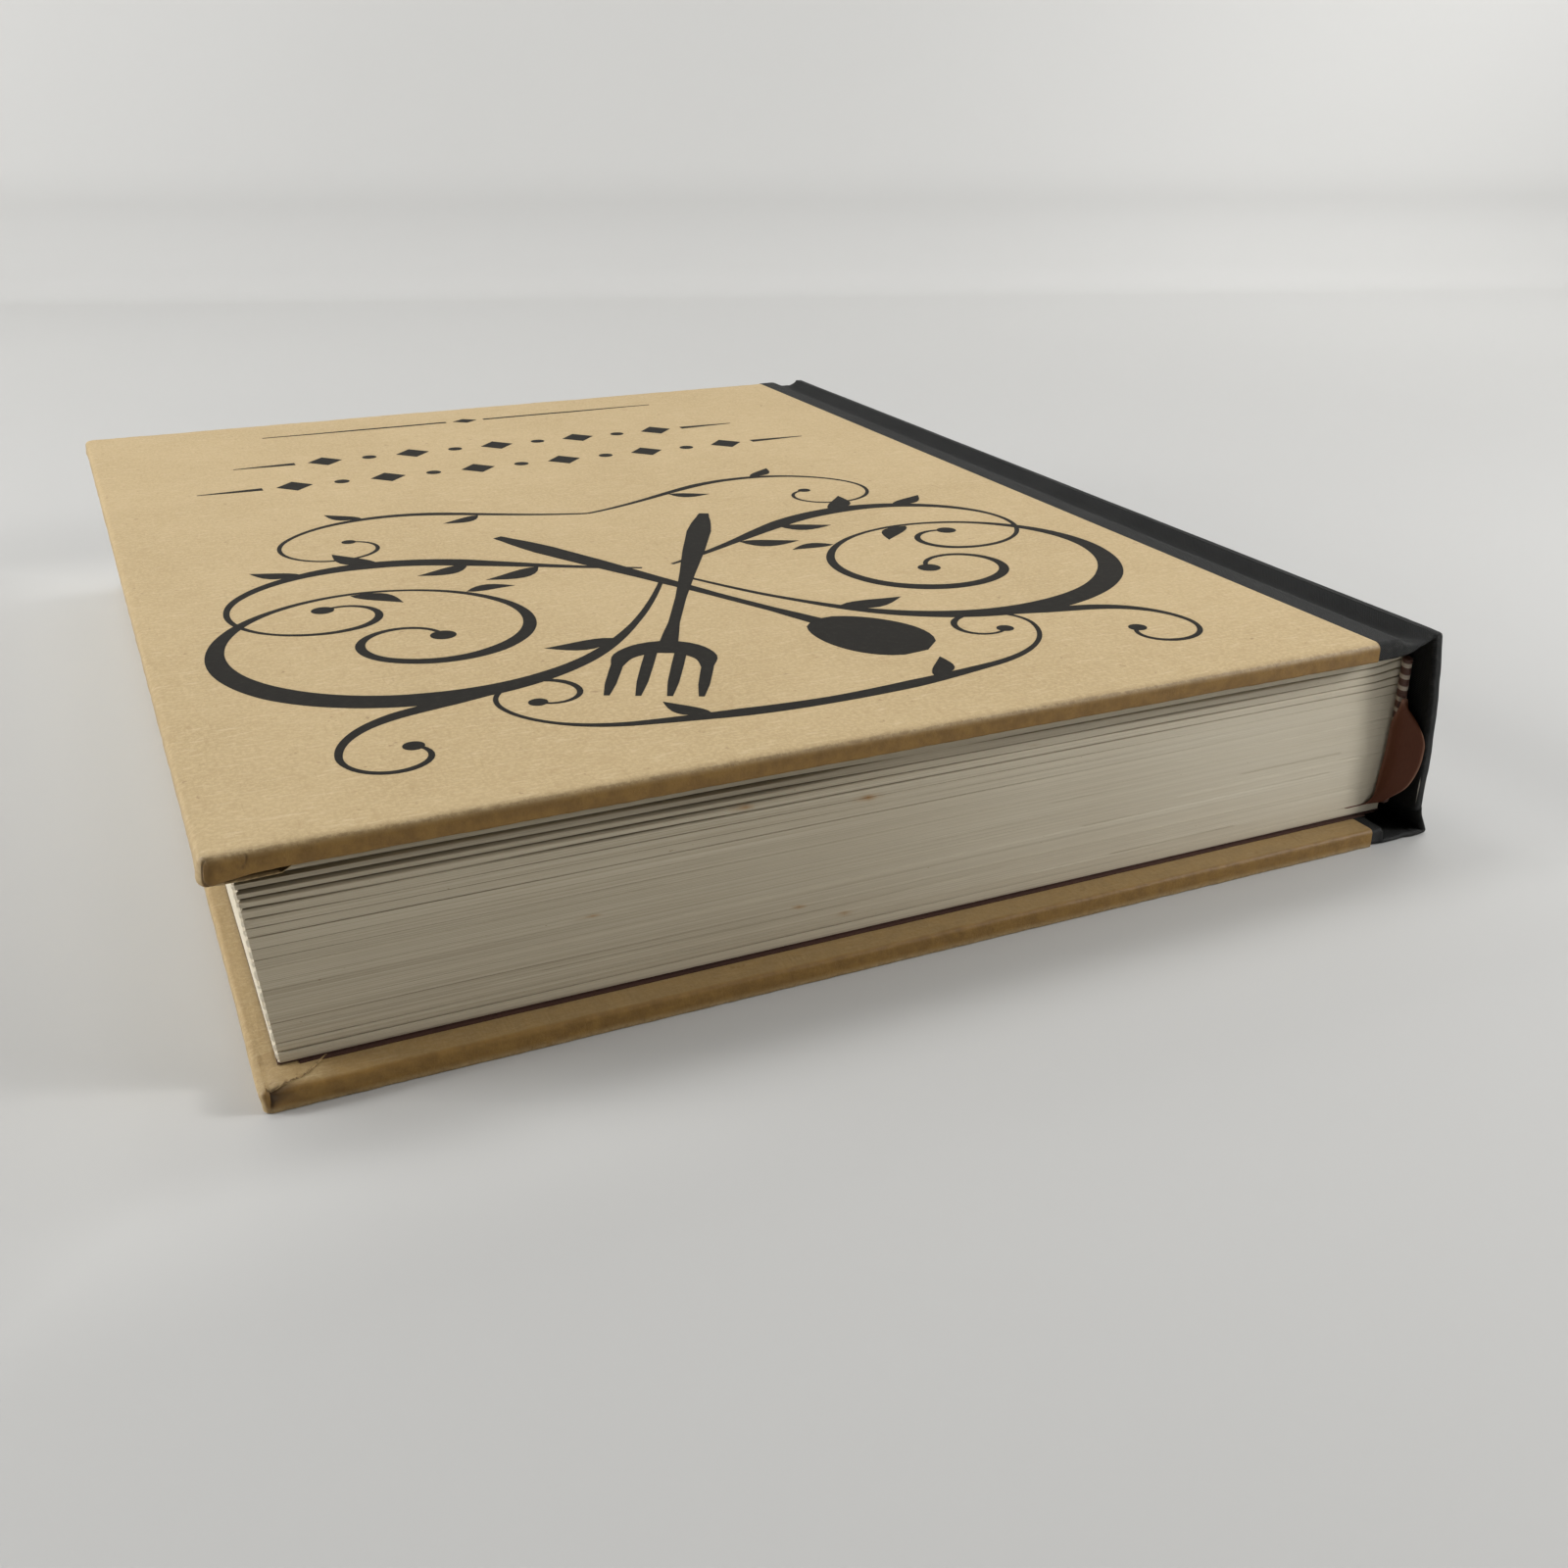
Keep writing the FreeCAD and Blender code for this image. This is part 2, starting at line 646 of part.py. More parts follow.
def make_cover_paper(name, front, cloth_width):
    """The cover paper round the board's three open edges, its turn-ins mitred at the corners."""
    body = new_body(name)
    section = rectangle(
        sketch_on(body, "wrap_section", "XZ_Plane"), cloth_width, "cover_width", "0", "wrap_thickness")
    symmetric_pad(body, section, "cover_height")
    reach = value("cover_height / 2")
    near = value(cloth_width)
    fore = value("cover_width")

    def open_edge(middle):
        at_end = abs(abs(middle.y) - reach) < 0.01
        at_fore = abs(middle.x - fore) < 0.01
        return middle.x > near + 0.01 and (at_end or at_fore)

    round_edges(body, "edge_round", open_edge)
    hollow_wrap(body, cloth_width, "cover_width - covering_thickness", "cover_width - turn_in")

    # the seam where the turn-ins meet: along the head for a little way, then on the mitre
    for side in (1, -1):
        seam = sketch_on(body, "mitre_seam", "XY_Plane", offset="wrap_thickness - seam_depth")
        edge = f"{side} * (cover_height / 2 - seam_offset)"
        outline(seam, [
            ("cover_width", f"{side} * (cover_height / 2 - seam_offset / 2)"),
            ("cover_width - seam_kink", edge),
            ("cover_width - turn_in", f"{side} * (cover_height / 2 - turn_in - seam_offset + seam_kink)"),
            ("cover_width - turn_in",
             f"{side} * (cover_height / 2 - turn_in - seam_offset + seam_kink - seam_width * 3 / 2)"),
            ("cover_width - seam_kink", f"{edge} - {side} * seam_width"),
            ("cover_width", f"{side} * (cover_height / 2 - seam_offset / 2 - seam_width)"),
        ])
        cut = body.newObject("PartDesign::Pocket", "MitreSeam")
        cut.Profile = seam
        cut.Type = "ThroughAll"
        cut.Reversed = True
        doc.recompute()
    return node(set_cover(body, front), name)


def make_pastedown(name, front):
    """Endpaper pasted over the turn-ins and pressed down on to the bare board between them."""
    body = new_body(name)
    sheet_section = rectangle(
        sketch_on(body, "sheet_section", "XZ_Plane"),
        "0", "cover_width - endpaper_margin", "wrap_thickness", "cover_stack")
    symmetric_pad(body, sheet_section, "cover_height - 2 * endpaper_margin")
    sunk = rectangle(
        sketch_on(body, "sunk_section", "XZ_Plane"),
        "0", "cover_width - turn_in", "wrap_thickness - covering_thickness", "wrap_thickness")
    symmetric_pad(body, sunk, "cover_height - 2 * turn_in")
    return node(set_cover(body, front), name)


def make_cover(side, front, cloth_width):
    make_board(f"{side}_board", front)
    make_board_cloth(f"{side}_board_cloth", front, cloth_width)
    make_cover_paper(f"{side}_cover_paper", front, cloth_width)
    make_pastedown(f"{side}_pastedown", front)


# --- the whole book --------------------------------------------------------------------------------

make_text_block()
make_flyleaves()
make_spine_lining()
make_band("head_band", head=True)
make_band("tail_band", head=False)
make_ribbon()
make_spine_board()
make_spine_cloth()
make_front_joint()
make_rear_joint()
make_cover("front", True, "front_cloth_width")
make_cover("rear", False, "rear_cloth_width")
doc.recompute()

for item in doc.Objects:
    if "Invalid" in item.State or "Error" in item.State:
        raise RuntimeError(f"{item.Label} failed: {item.State}")
for item in NODES:
    if item.Shape.isNull() or not item.Shape.isValid():
        raise RuntimeError(f"{item.Label} has no valid shape")

os.makedirs("parts", exist_ok=True)
for item in NODES:
    item.Shape.exportStep(f"parts/{item.Label}.step")
    box = item.Shape.BoundBox
    print(
        f"{item.Label:20s} solids {len(item.Shape.Solids)}  volume {item.Shape.Volume:10.1f}"
        f"  x {box.XMin:8.2f} {box.XMax:8.2f}  y {box.YMin:8.2f} {box.YMax:8.2f}"
        f"  z {box.ZMin:6.2f} {box.ZMax:6.2f}")
for name in ("front_hinge_x", "front_hinge_z", "rear_hinge_x", "wrap_thickness"):
    print(name, round(value(name), 4))
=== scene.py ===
import math

import bmesh
import bpy
import numpy as np
from mathutils import Matrix, Vector
from mathutils.kdtree import KDTree


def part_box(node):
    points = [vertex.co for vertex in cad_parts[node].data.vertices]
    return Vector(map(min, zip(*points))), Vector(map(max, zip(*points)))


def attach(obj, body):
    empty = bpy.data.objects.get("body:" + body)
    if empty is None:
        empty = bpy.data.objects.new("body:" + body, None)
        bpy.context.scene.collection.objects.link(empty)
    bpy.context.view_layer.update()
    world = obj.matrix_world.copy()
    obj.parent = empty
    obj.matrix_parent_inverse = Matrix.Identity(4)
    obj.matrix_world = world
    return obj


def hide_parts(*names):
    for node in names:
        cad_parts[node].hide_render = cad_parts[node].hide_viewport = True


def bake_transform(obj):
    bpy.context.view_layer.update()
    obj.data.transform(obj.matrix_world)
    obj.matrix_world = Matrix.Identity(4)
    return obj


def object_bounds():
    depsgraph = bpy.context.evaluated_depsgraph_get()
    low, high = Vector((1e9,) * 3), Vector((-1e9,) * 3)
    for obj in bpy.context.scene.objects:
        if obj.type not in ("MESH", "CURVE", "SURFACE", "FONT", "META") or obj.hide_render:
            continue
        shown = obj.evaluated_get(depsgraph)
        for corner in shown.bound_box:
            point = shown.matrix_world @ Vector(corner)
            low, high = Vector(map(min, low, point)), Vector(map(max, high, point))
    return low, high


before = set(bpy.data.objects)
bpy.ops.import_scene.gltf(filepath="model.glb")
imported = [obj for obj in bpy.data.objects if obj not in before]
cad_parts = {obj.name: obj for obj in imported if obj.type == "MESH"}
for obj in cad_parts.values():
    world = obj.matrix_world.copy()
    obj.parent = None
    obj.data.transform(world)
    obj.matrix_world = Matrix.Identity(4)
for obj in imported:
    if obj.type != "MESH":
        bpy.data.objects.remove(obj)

# Lengths are millimetres in the CAD frame.
MM = 0.001
CAD_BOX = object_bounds()


def span(node):
    """The lowest and highest corner of a CAD node, in millimetres."""
    low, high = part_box(node)
    return np.array(low) / MM, np.array(high) / MM


# --- meshes ---


def ripple(points, size, seed):
    """Smooth noise, about -1 to 1, with bumps about size across. The seed fixes its pattern."""
    rng = np.random.default_rng(seed)
    points = np.asarray(points, float)
    total = np.zeros(points.shape[:-1])
    for _ in range(9):
        direction = rng.normal(size=3)
        direction /= np.linalg.norm(direction)
        wavelength = size * rng.uniform(0.8, 2.2)
        total += np.sin(points @ direction * (2 * math.pi / wavelength) + rng.uniform(0, 2 * math.pi))
    return total / 4.5


def ease(value, start, end):
    """0 before start, 1 after end, smooth between."""
    t = np.clip((np.asarray(value, float) - start) / (end - start), 0, 1)
    return t * t * (3 - 2 * t)


def hump(value, middle, width):
    """1 at the middle, falling away to both sides."""
    return np.exp(-((value - middle) / width) ** 2)


def join(*parts):
    """Points from their coordinates, given one by one."""
    return np.stack(np.broadcast_arrays(*parts), -1)


def unit(vectors):
    return vectors / np.maximum(np.linalg.norm(vectors, axis=-1, keepdims=True), 1e-9)


def turned(points, degrees, about=(0.0, 0.0)):
    """Flat points turned anticlockwise about a place."""
    sine, cosine = math.sin(math.radians(degrees)), math.cos(math.radians(degrees))
    return (np.asarray(points, float) - about) @ np.array([[cosine, sine], [-sine, cosine]]) + about


def lengths_along(line):
    """How far each point of a line lies from its start, measured along it."""
    return np.concatenate([[0], np.cumsum(np.linalg.norm(np.diff(line, axis=0), axis=1))])


def cap(ring, shares=(1, 0)):
    """A patch that closes a ring, by smaller and smaller copies of it."""
    middle = ring.mean(0)
    return np.stack([middle + (ring - middle) * share for share in shares])


def sheet(upper, lower):
    """Two matching grids closed round their edges."""
    edges = (0, -1, (slice(None), 0), (slice(None), -1))
    return [upper, lower] + [np.stack([upper[edge], lower[edge]]) for edge in edges]


def spaced(*runs):
    """Numbers from run to run: each run is (from, to, step)."""
    values = []
    for start, end, step in runs:
        count = max(1, round(abs(end - start) / step))
        values += list(np.linspace(start, end, count, endpoint=False))
    return np.array(values + [runs[-1][1]])


def smooth_line(points, step):
    """A curve through points, in steps of about the given length."""
    points = np.asarray(points, float)
    padded = np.concatenate([2 * points[:1] - points[1:2], points, 2 * points[-1:] - points[-2:-1]])
    line = []
    for i in range(1, len(padded) - 2):
        p0, p1, p2, p3 = padded[i - 1:i + 3]
        count = max(1, round(np.linalg.norm(p2 - p1) / step))
        for t in np.arange(count) / count:
            line.append(0.5 * (2 * p1 + (p2 - p0) * t + (2 * p0 - 5 * p1 + 4 * p2 - p3) * t * t
                               + (3 * p1 - p0 - 3 * p2 + p3) * t ** 3))
    return np.array(line + [points[-1]])


def mesh_piece(name, patches, merge=0.0008, smooth_angle=40, fields=None):
    """A mesh object from patches of points, each an (m, n, 3) grid of quads, joined where they touch.

    fields holds a value for each point under each name; patches left out at the end get 0.
    """
    points, faces, start = [], [], 0
    for patch in patches:
        m, n = patch.shape[:2]
        index = start + np.arange(m * n).reshape(m, n)
        quads = np.stack([index[:-1, :-1], index[1:, :-1], index[1:, 1:], index[:-1, 1:]], axis=-1)
        faces.append(quads.reshape(-1, 4))
        points.append(patch.reshape(-1, 3))
        start += m * n
    mesh = bpy.data.meshes.new(name)
    mesh.from_pydata((np.concatenate(points) * MM).tolist(), [], np.concatenate(faces).tolist())
    for key, values in (fields or {}).items():
        flat = np.concatenate([v.reshape(-1) for v in values])
        padded = np.zeros(start, np.float32)
        padded[:len(flat)] = flat
        mesh.attributes.new(key, "FLOAT", "POINT").data.foreach_set("value", padded)
    return finish_mesh(name, mesh, merge, smooth_angle)


def finish_mesh(name, mesh, merge, smooth_angle):
    """Joins touching points, drops empty faces, turns the normals outward and links the object."""
    work = bmesh.new()
    work.from_mesh(mesh)
    bmesh.ops.remove_doubles(work, verts=work.verts, dist=merge * MM)
    bmesh.ops.dissolve_degenerate(work, edges=work.edges, dist=merge * MM / 2)
    bmesh.ops.recalc_face_normals(work, faces=work.faces)
    work.to_mesh(mesh)
    work.free()
    mesh.polygons.foreach_set("use_smooth", [True] * len(mesh.polygons))
    mesh.set_sharp_from_angle(angle=math.radians(smooth_angle))
    piece = bpy.data.objects.new(name, mesh)
    bpy.context.collection.objects.link(piece)
    return piece


def stand_in(piece, body, slot, material, *nodes):
    """Puts a piece on its body, in place of the CAD nodes it stands for. The slot is not used."""
    piece.data.materials.clear()
    piece.data.materials.append(material)
    if body:
        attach(piece, body)
    if nodes:
        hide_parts(*nodes)
    return piece


# --- materials ---


class Shader:
    """One material's nodes."""

    def __init__(self, name):
        self.material = bpy.data.materials.new(name)
        self.material.use_nodes = True
        self.tree = self.material.node_tree
        self.surface = self.tree.nodes["Principled BSDF"]
        self.place = self.make("TexCoord").outputs["Object"]

    def make(self, kind, settings=None, **inputs):
        made = self.tree.nodes.new("ShaderNode" + kind)
        for key, value in (settings or {}).items():
            setattr(made, key, value)
        for key, value in inputs.items():
            socket = made.inputs[int(key[1:])] if key[0] == "_" else made.inputs[key.replace("_", " ")]
            self.put(socket, value)
        return made

    def put(self, socket, value):
        if isinstance(value, bpy.types.NodeSocket):
            self.tree.links.new(value, socket)
        else:
            socket.default_value = value

    def set(self, **inputs):
        for key, value in inputs.items():
            self.put(self.surface.inputs[key.replace("_", " ")], value)

    def math(self, operation, a, b=0.0, clamp=False):
        return self.make("Math", {"operation": operation, "use_clamp": clamp}, _0=a, _1=b).outputs[0]

    def noise(self, scale, stretch=(1, 1, 1), detail=3.0, roughness=0.5, distortion=0.0, turn=(0, 0, 0),
              place=None):
        """Noise with its features about 1/scale metres across, squeezed by stretch on each axis."""
        mapping = self.make(
            "Mapping", Vector=place or self.place, Rotation=turn, Scale=tuple(scale * s for s in stretch))
        return self.make(
            "TexNoise", Vector=mapping.outputs[0], Scale=1.0, Detail=detail, Roughness=roughness,
            Distortion=distortion).outputs[0]

    def ramp(self, factor, low, high):
        """0 below low, 1 above high."""
        made = self.make("MapRange", {"interpolation_type": "SMOOTHSTEP"}, _0=factor, _1=low, _2=high)
        return made.outputs[0]

    def mix(self, factor, a, b, blend="MIX"):
        made = self.make("Mix", {"data_type": "RGBA", "blend_type": blend}, _0=factor)
        for socket, colour in ((6, a), (7, b)):
            self.put(made.inputs[socket], (*colour, 1.0) if isinstance(colour, tuple) else colour)
        return made.outputs[2]

    def over(self, tone, pattern, start, end, share, colour):
        """Lays a share of a colour over the tone: none where the pattern is below start, all past end."""
        return self.mix(self.math("MULTIPLY", self.ramp(pattern, start, end), share), tone, colour)

    def clouded(self, scale, low, high, detail=4, roughness=0.6):
        """A tone that drifts between two colours."""
        cloud = self.noise(scale, detail=detail, roughness=roughness)
        return self.mix(self.ramp(cloud, 0.3, 0.7), low, high)

    def field(self, name):
        return self.make("Attribute", {"attribute_name": name}).outputs["Fac"]

    def flat_place(self):
        """The place on the flat cloth or ribbon, in millimetres."""
        return self.make("UVMap", {"uv_map": "weave"}).outputs[0]

    def finish(self, tone, roughness, specular, *layers):
        """The material in its tone, with bump from layers of (height, distance in millimetres)."""
        self.set(Base_Color=tone, Roughness=roughness, Specular_IOR_Level=specular)
        normal = None
        for height, distance in layers:
            bump = self.make("Bump", Strength=1.0, Distance=distance * MM, Height=height)
            if normal is not None:
                self.put(bump.inputs["Normal"], normal)
            normal = bump.outputs[0]
            self.put(self.surface.inputs["Normal"], normal)
        return self.material


def kraft_material(name):
    """Uncoated brown cover paper: short fibres, flecks, a little shine, scuffed dark along its edges, with
    painted shade on its side faces, turn-ins, corner pocket and creases.
    """
    s = Shader(name)
    grain = s.noise(1500, detail=3, roughness=0.7)
    fibre_a = s.noise(1500, (0.16, 1.0, 1.0), detail=2, distortion=0.5, turn=(0, 0, 0.5))
    fibre_b = s.noise(1500, (1.0, 0.14, 1.0), detail=2, distortion=0.5, turn=(0, 0, -0.4))
    mottle = s.noise(330, detail=4, roughness=0.65)
    fleck = s.noise(420, detail=2, roughness=0.8)
    tone = s.clouded(28, (0.408, 0.296, 0.143), (0.452, 0.334, 0.170))
    tone = s.over(tone, grain, 0.40, 0.66, 0.60, (0.552, 0.417, 0.226))
    tone = s.over(tone, mottle, 0.50, 0.72, 0.50, (0.405, 0.287, 0.138))
    tone = s.over(tone, fibre_a, 0.58, 0.70, 0.28, (0.66, 0.53, 0.33))
    tone = s.over(tone, fibre_b, 0.60, 0.72, 0.22, (0.33, 0.215, 0.09))
    tone = s.over(tone, fleck, 0.68, 0.76, 0.60, (0.24, 0.145, 0.058))
    # painted shade: a darker brown laid over the side faces and the turn-ins, as far as the field side
    # reaches
    side_tone = s.mix(s.ramp(mottle, 0.34, 0.66), (0.192, 0.101, 0.020), (0.256, 0.140, 0.029))
    tone = s.mix(s.field("side"), tone, side_tone)
    scuff = s.noise(1300, detail=5, roughness=0.75)
    scuffed = s.math("ADD", scuff, s.math("MULTIPLY", s.field("edge"), 0.42))
    tone = s.over(tone, scuffed, 0.78, 0.95, 0.38, (0.130, 0.068, 0.020))
    # painted shade in the pocket and in the creases at the corners of the turn-ins
    tone = s.mix(s.field("pocket"), tone, (0.042, 0.020, 0.006))
    return s.finish(tone, 0.58, 0.45, (mottle, 0.06), (grain, 0.06), (fibre_a, 0.06), (fibre_b, 0.05),
                    (scuff, 0.03))


def cloth_material(name):
    """Black bookcloth: a fine plain weave with painted highlights on its high threads, and dust in patches.
    """
    s = Shader(name)
    parts = s.make("SeparateXYZ", Vector=s.flat_place()).outputs
    thread_pitch = 0.42
    per_length = 2 * math.pi / thread_pitch
    across, along = [s.math("SINE", s.math("MULTIPLY", part, per_length)) for part in parts[:2]]
    weave = s.math("MULTIPLY", across, along)
    slub = s.noise(300, (1.0, 0.2, 1.0), detail=3)
    dust = s.noise(700, detail=4, roughness=0.8)
    tone = s.clouded(60, (0.0050, 0.0053, 0.0050), (0.0100, 0.0104, 0.0098))
    # painted highlights on the high threads of the weave
    tone = s.over(tone, weave, 0.1, 1.0, 0.35, (0.021, 0.0215, 0.0205))
    tone = s.over(tone, dust, 0.66, 0.8, 0.4, (0.11, 0.105, 0.098))
    # the threads are rubbed grey along the head and tail
    from_middle = s.math("ABSOLUTE", s.make("SeparateXYZ", Vector=s.place).outputs[1])
    end = CAD_BOX[1][1]
    rubbed = s.math("MULTIPLY", s.ramp(from_middle, end - 0.0014, end), s.ramp(dust, 0.48, 0.66))
    tone = s.mix(s.math("MULTIPLY", rubbed, 0.28), tone, (0.075, 0.072, 0.066))
    return s.finish(tone, 0.62, 0.22, (weave, 0.05), (slub, 0.05), (dust, 0.015))


def page_material(name):
    """Cut edges of cream paper: leaf upon leaf, grey lines between them, a few brown specks, with painted
    shade towards the fore-edge and in the gaps between sections.
    """
    s = Shader(name)
    leaf = s.noise(8200, (0.0012, 0.0012, 1.0), detail=2, roughness=0.6)
    band = s.noise(1400, (0.004, 0.004, 1.0), detail=3, roughness=0.6)
    thin = s.noise(4300, (0.002, 0.002, 1.0), detail=1, roughness=0.5)
    fleck = s.noise(620, (1.0, 1.0, 2.6), detail=2, roughness=0.7)
    tone = s.clouded(16, (0.612, 0.547, 0.424), (0.658, 0.596, 0.470), detail=3, roughness=0.5)
    fore_shade = s.field("fore_shade")
    parted = s.math("ADD", s.math("MULTIPLY", fore_shade, 1.1), 0.16)
    tone = s.over(tone, leaf, 0.42, 0.64, parted, (0.440, 0.383, 0.285))
    tone = s.over(tone, band, 0.50, 0.72, parted, (0.430, 0.372, 0.275))
    tone = s.over(tone, thin, 0.56, 0.70, 0.45, (0.70, 0.645, 0.52))
    tone = s.over(tone, fleck, 0.735, 0.79, 0.7, (0.30, 0.21, 0.11))
    # painted shade, deepening towards the fore-edge
    tone = s.mix(fore_shade, tone, (0.60, 0.55, 0.45), "MULTIPLY")
    # painted shade in the gaps between the sections
    tone = s.mix(s.field("gap"), tone, (0.18, 0.15, 0.10))
    tone = s.mix(s.field("speck"), tone, (0.36, 0.20, 0.075))
    return s.finish(tone, 0.82, 0.25, (leaf, 0.035), (band, 0.03))


def plain_paper(name, low, high):
    """Flat paper or board: a base tone with fine grain and soft clouding."""
    s = Shader(name)
    grain = s.noise(700, detail=4, roughness=0.75)
    darker = tuple(0.7 * c for c in low)
    tone = s.over(s.clouded(24, low, high), grain, 0.5, 0.75, 0.5, darker)
    return s.finish(tone, 0.75, 0.35, (grain, 0.03))


def band_material(name):
    """Thread wound round a core in two colours, brown and off-white by turns."""
    s = Shader(name)
    hair = s.noise(2600, (1.0, 1.0, 0.5), detail=3, roughness=0.7)
    brown = s.mix(hair, (0.070, 0.026, 0.015), (0.130, 0.050, 0.029))
    white = s.mix(hair, (0.40, 0.32, 0.25), (0.60, 0.51, 0.41))
    s.set(Sheen_Weight=0.2, Sheen_Roughness=0.4)
    return s.finish(s.mix(s.field("turn"), brown, white), 0.5, 0.5, (hair, 0.04))


def ribbon_material(name):
    """Brown satin ribbon: fine lengthwise threads and pale selvedges."""
    s = Shader(name)
    place = s.flat_place()
    threads = s.noise(1, (9.0, 0.8, 1.0), detail=2, place=place)
    picks = s.noise(1, (1.2, 7.0, 1.0), detail=2, place=place)
    tone = s.mix(threads, (0.104, 0.031, 0.014), (0.160, 0.053, 0.025))
    tone = s.mix(s.math("MULTIPLY", s.field("edge"), 0.8), tone, (0.46, 0.25, 0.17))
    return s.finish(tone, 0.5, 0.2, (threads, 0.02), (picks, 0.015))


def ink_material(name):
    """Matt black printing ink that has sunk a little into the paper."""
    s = Shader(name)
    wear = s.noise(700, detail=4, roughness=0.75)
    tone = s.mix(s.ramp(wear, 0.45, 0.85), (0.0125, 0.0110, 0.0085), (0.026, 0.023, 0.018))
    return s.finish(tone, 0.7, 0.12, (wear, 0.02))


def stage_material(name):
    """Plain studio paper, with painted light round the book and up the wall, and painted shade in the bend at
    its foot.
    """
    s = Shader(name)
    across, along, height = s.make("SeparateXYZ", Vector=s.place).outputs[:3]
    half_width, half_length = CAD_BOX[1][:2]
    beside = s.math("SUBTRACT", s.math("ABSOLUTE", across), half_width)
    beyond = s.math("SUBTRACT", s.math("ABSOLUTE", along), half_length)
    from_book = s.math("MAXIMUM", beside, beyond)
    # painted light: the floor is lighter close round the book
    tone = s.mix(s.ramp(from_book, 0.006, 0.042), (0.572, 0.569, 0.553), (0.492, 0.489, 0.476))
    # painted shade in the bend at the foot of the wall
    tone = s.mix(s.ramp(height, 0.0, 0.016), tone, (0.472, 0.469, 0.456))
    # painted light up the wall
    tone = s.mix(s.ramp(height, 0.010, 0.075), tone, (0.600, 0.597, 0.583))
    tone = s.mix(s.math("MULTIPLY", s.noise(3, detail=2), 0.06), tone, (0.0, 0.0, 0.0))
    return s.finish(tone, 0.6, 0.2)


# --- camera, floor and light ---


def set_up(name, data, place, direction):
    """Puts a camera or lamp at a place, turned to look along a direction."""
    made = bpy.data.objects.new(name, data)
    bpy.context.collection.objects.link(made)
    turn = Vector(direction).to_track_quat("-Z", "Y").to_matrix().to_4x4()
    made.matrix_world = Matrix.Translation(place) @ turn
    return made


def make_camera():
    data = bpy.data.cameras.new("camera")
    data.sensor_width = 36.0
    data.lens = 36.53
    data.clip_start = 0.01
    bpy.context.scene.camera = set_up("camera", data, (0.1090, 0.3113, 0.1261), (-0.3786, -0.8274, -0.4147))


def make_stage():
    """A floor that turns up into a wall behind the book, in millimetres as every mesh."""
    reach, bend_start, radius, wall_top = 3000.0, -620.0, 50.0, 2400.0
    angles = np.radians(np.linspace(0, 90, 13))
    along = np.concatenate([[reach], bend_start - radius * np.sin(angles), [bend_start - radius]])
    up = np.concatenate([[0.0], radius * (1 - np.cos(angles)), [wall_top]])
    rows = []
    for across in (-reach, reach):
        rows.append(np.column_stack([turned(join(across, along), -20.6), up]))
    floor = mesh_piece("studio_floor", [np.stack(rows, 1)], smooth_angle=60)
    floor.data.materials.append(stage_material("studio_paper"))


def make_lamp(name, place, aim, size, power, spread=180):
    data = bpy.data.lights.new(name, "AREA")
    data.shape = "RECTANGLE"
    data.size, data.size_y = size
    data.energy = power
    data.spread = math.radians(spread)
    set_up(name, data, place, Vector(aim) - Vector(place))


def make_light():
    make_lamp("overhead_softbox", (-0.20, -0.20, 1.25), (-0.05, 0.0, 0.0), (1.2, 1.2), 0.9)
    make_lamp("spine_side_key", (-0.555, 0.400, 0.30), (-0.09, 0.12, 0.02), (0.10, 0.10), 1.9)
    make_lamp("spine_side_soft", (-0.568, 0.381, 0.34), (-0.09, 0.12, 0.02), (0.40, 0.36), 1.95)
    make_lamp("spine_side_fill", (-0.90, 0.0, 0.50), (-0.09, 0.0, 0.0), (0.5, 0.4), 1.2)
    make_lamp("fore_edge_fill", (0.90, -0.10, 0.25), (0.1, 0.0, 0.02), (0.5, 0.3), 4.4)
    make_lamp("wall_wash_fore", (0.45, -0.40, 1.10), (0.25, -0.85, 0.25), (0.8, 0.4), 6.4)
    make_lamp("wall_wash_spine", (-0.55, -0.25, 1.10), (-0.45, -0.80, 0.35), (0.8, 0.4), 4.5)
    make_lamp("fore_floor_wash", (0.95, -0.25, 0.60), (0.27, -0.05, 0.0), (0.4, 0.3), 0.9, spread=75)
    make_lamp("wall_wash_far", (-0.78, -0.02, 0.50), (-0.66, -0.46, 0.12), (0.4, 0.3), 0.45, spread=75)
    make_lamp("wall_wash_near", (0.60, -0.42, 0.50), (0.20, -0.80, 0.12), (0.4, 0.3), 0.30, spread=75)
    world = bpy.data.worlds.new("studio")
    bpy.context.scene.world = world
    world.use_nodes = True
    background = world.node_tree.nodes["Background"].inputs
    background["Color"].default_value = (1.0, 1.0, 0.99, 1.0)
    background["Strength"].default_value = 0.05
    bpy.context.scene.view_settings.view_transform = "Standard"


make_camera()
make_stage()
make_light()

# --- the pages ---

# Where one section ends and the next begins, above the table, how far the two part at the head, and how
# much the section below leans: its cut faces slope a little in or out.
SECTION_ENDS = [
    (5.44, 0.26, 0.04), (6.9, 0.12, -0.05), (8.9, 0.03, 0.02), (10.1, 0.09, -0.03), (12.0, 0.02, 0.0),
    (13.2, 0.02, 0.01), (15.2, 0.07, -0.01), (16.5, 0.02, 0.0), (18.6, 0.03, -0.02), (19.9, 0.10, 0.03),
    (21.6, 0.10, -0.05), (23.3, 0.26, 0.06), (24.7, 0.24, -0.06), (26.0, 0.40, 0.10), (27.5, 0.72, -0.08),
    (28.8, 0.80, 0.12), (30.2, 0.90, -0.12), (31.6, 1.00, 0.14), (33.0, 1.05, -0.10),
]
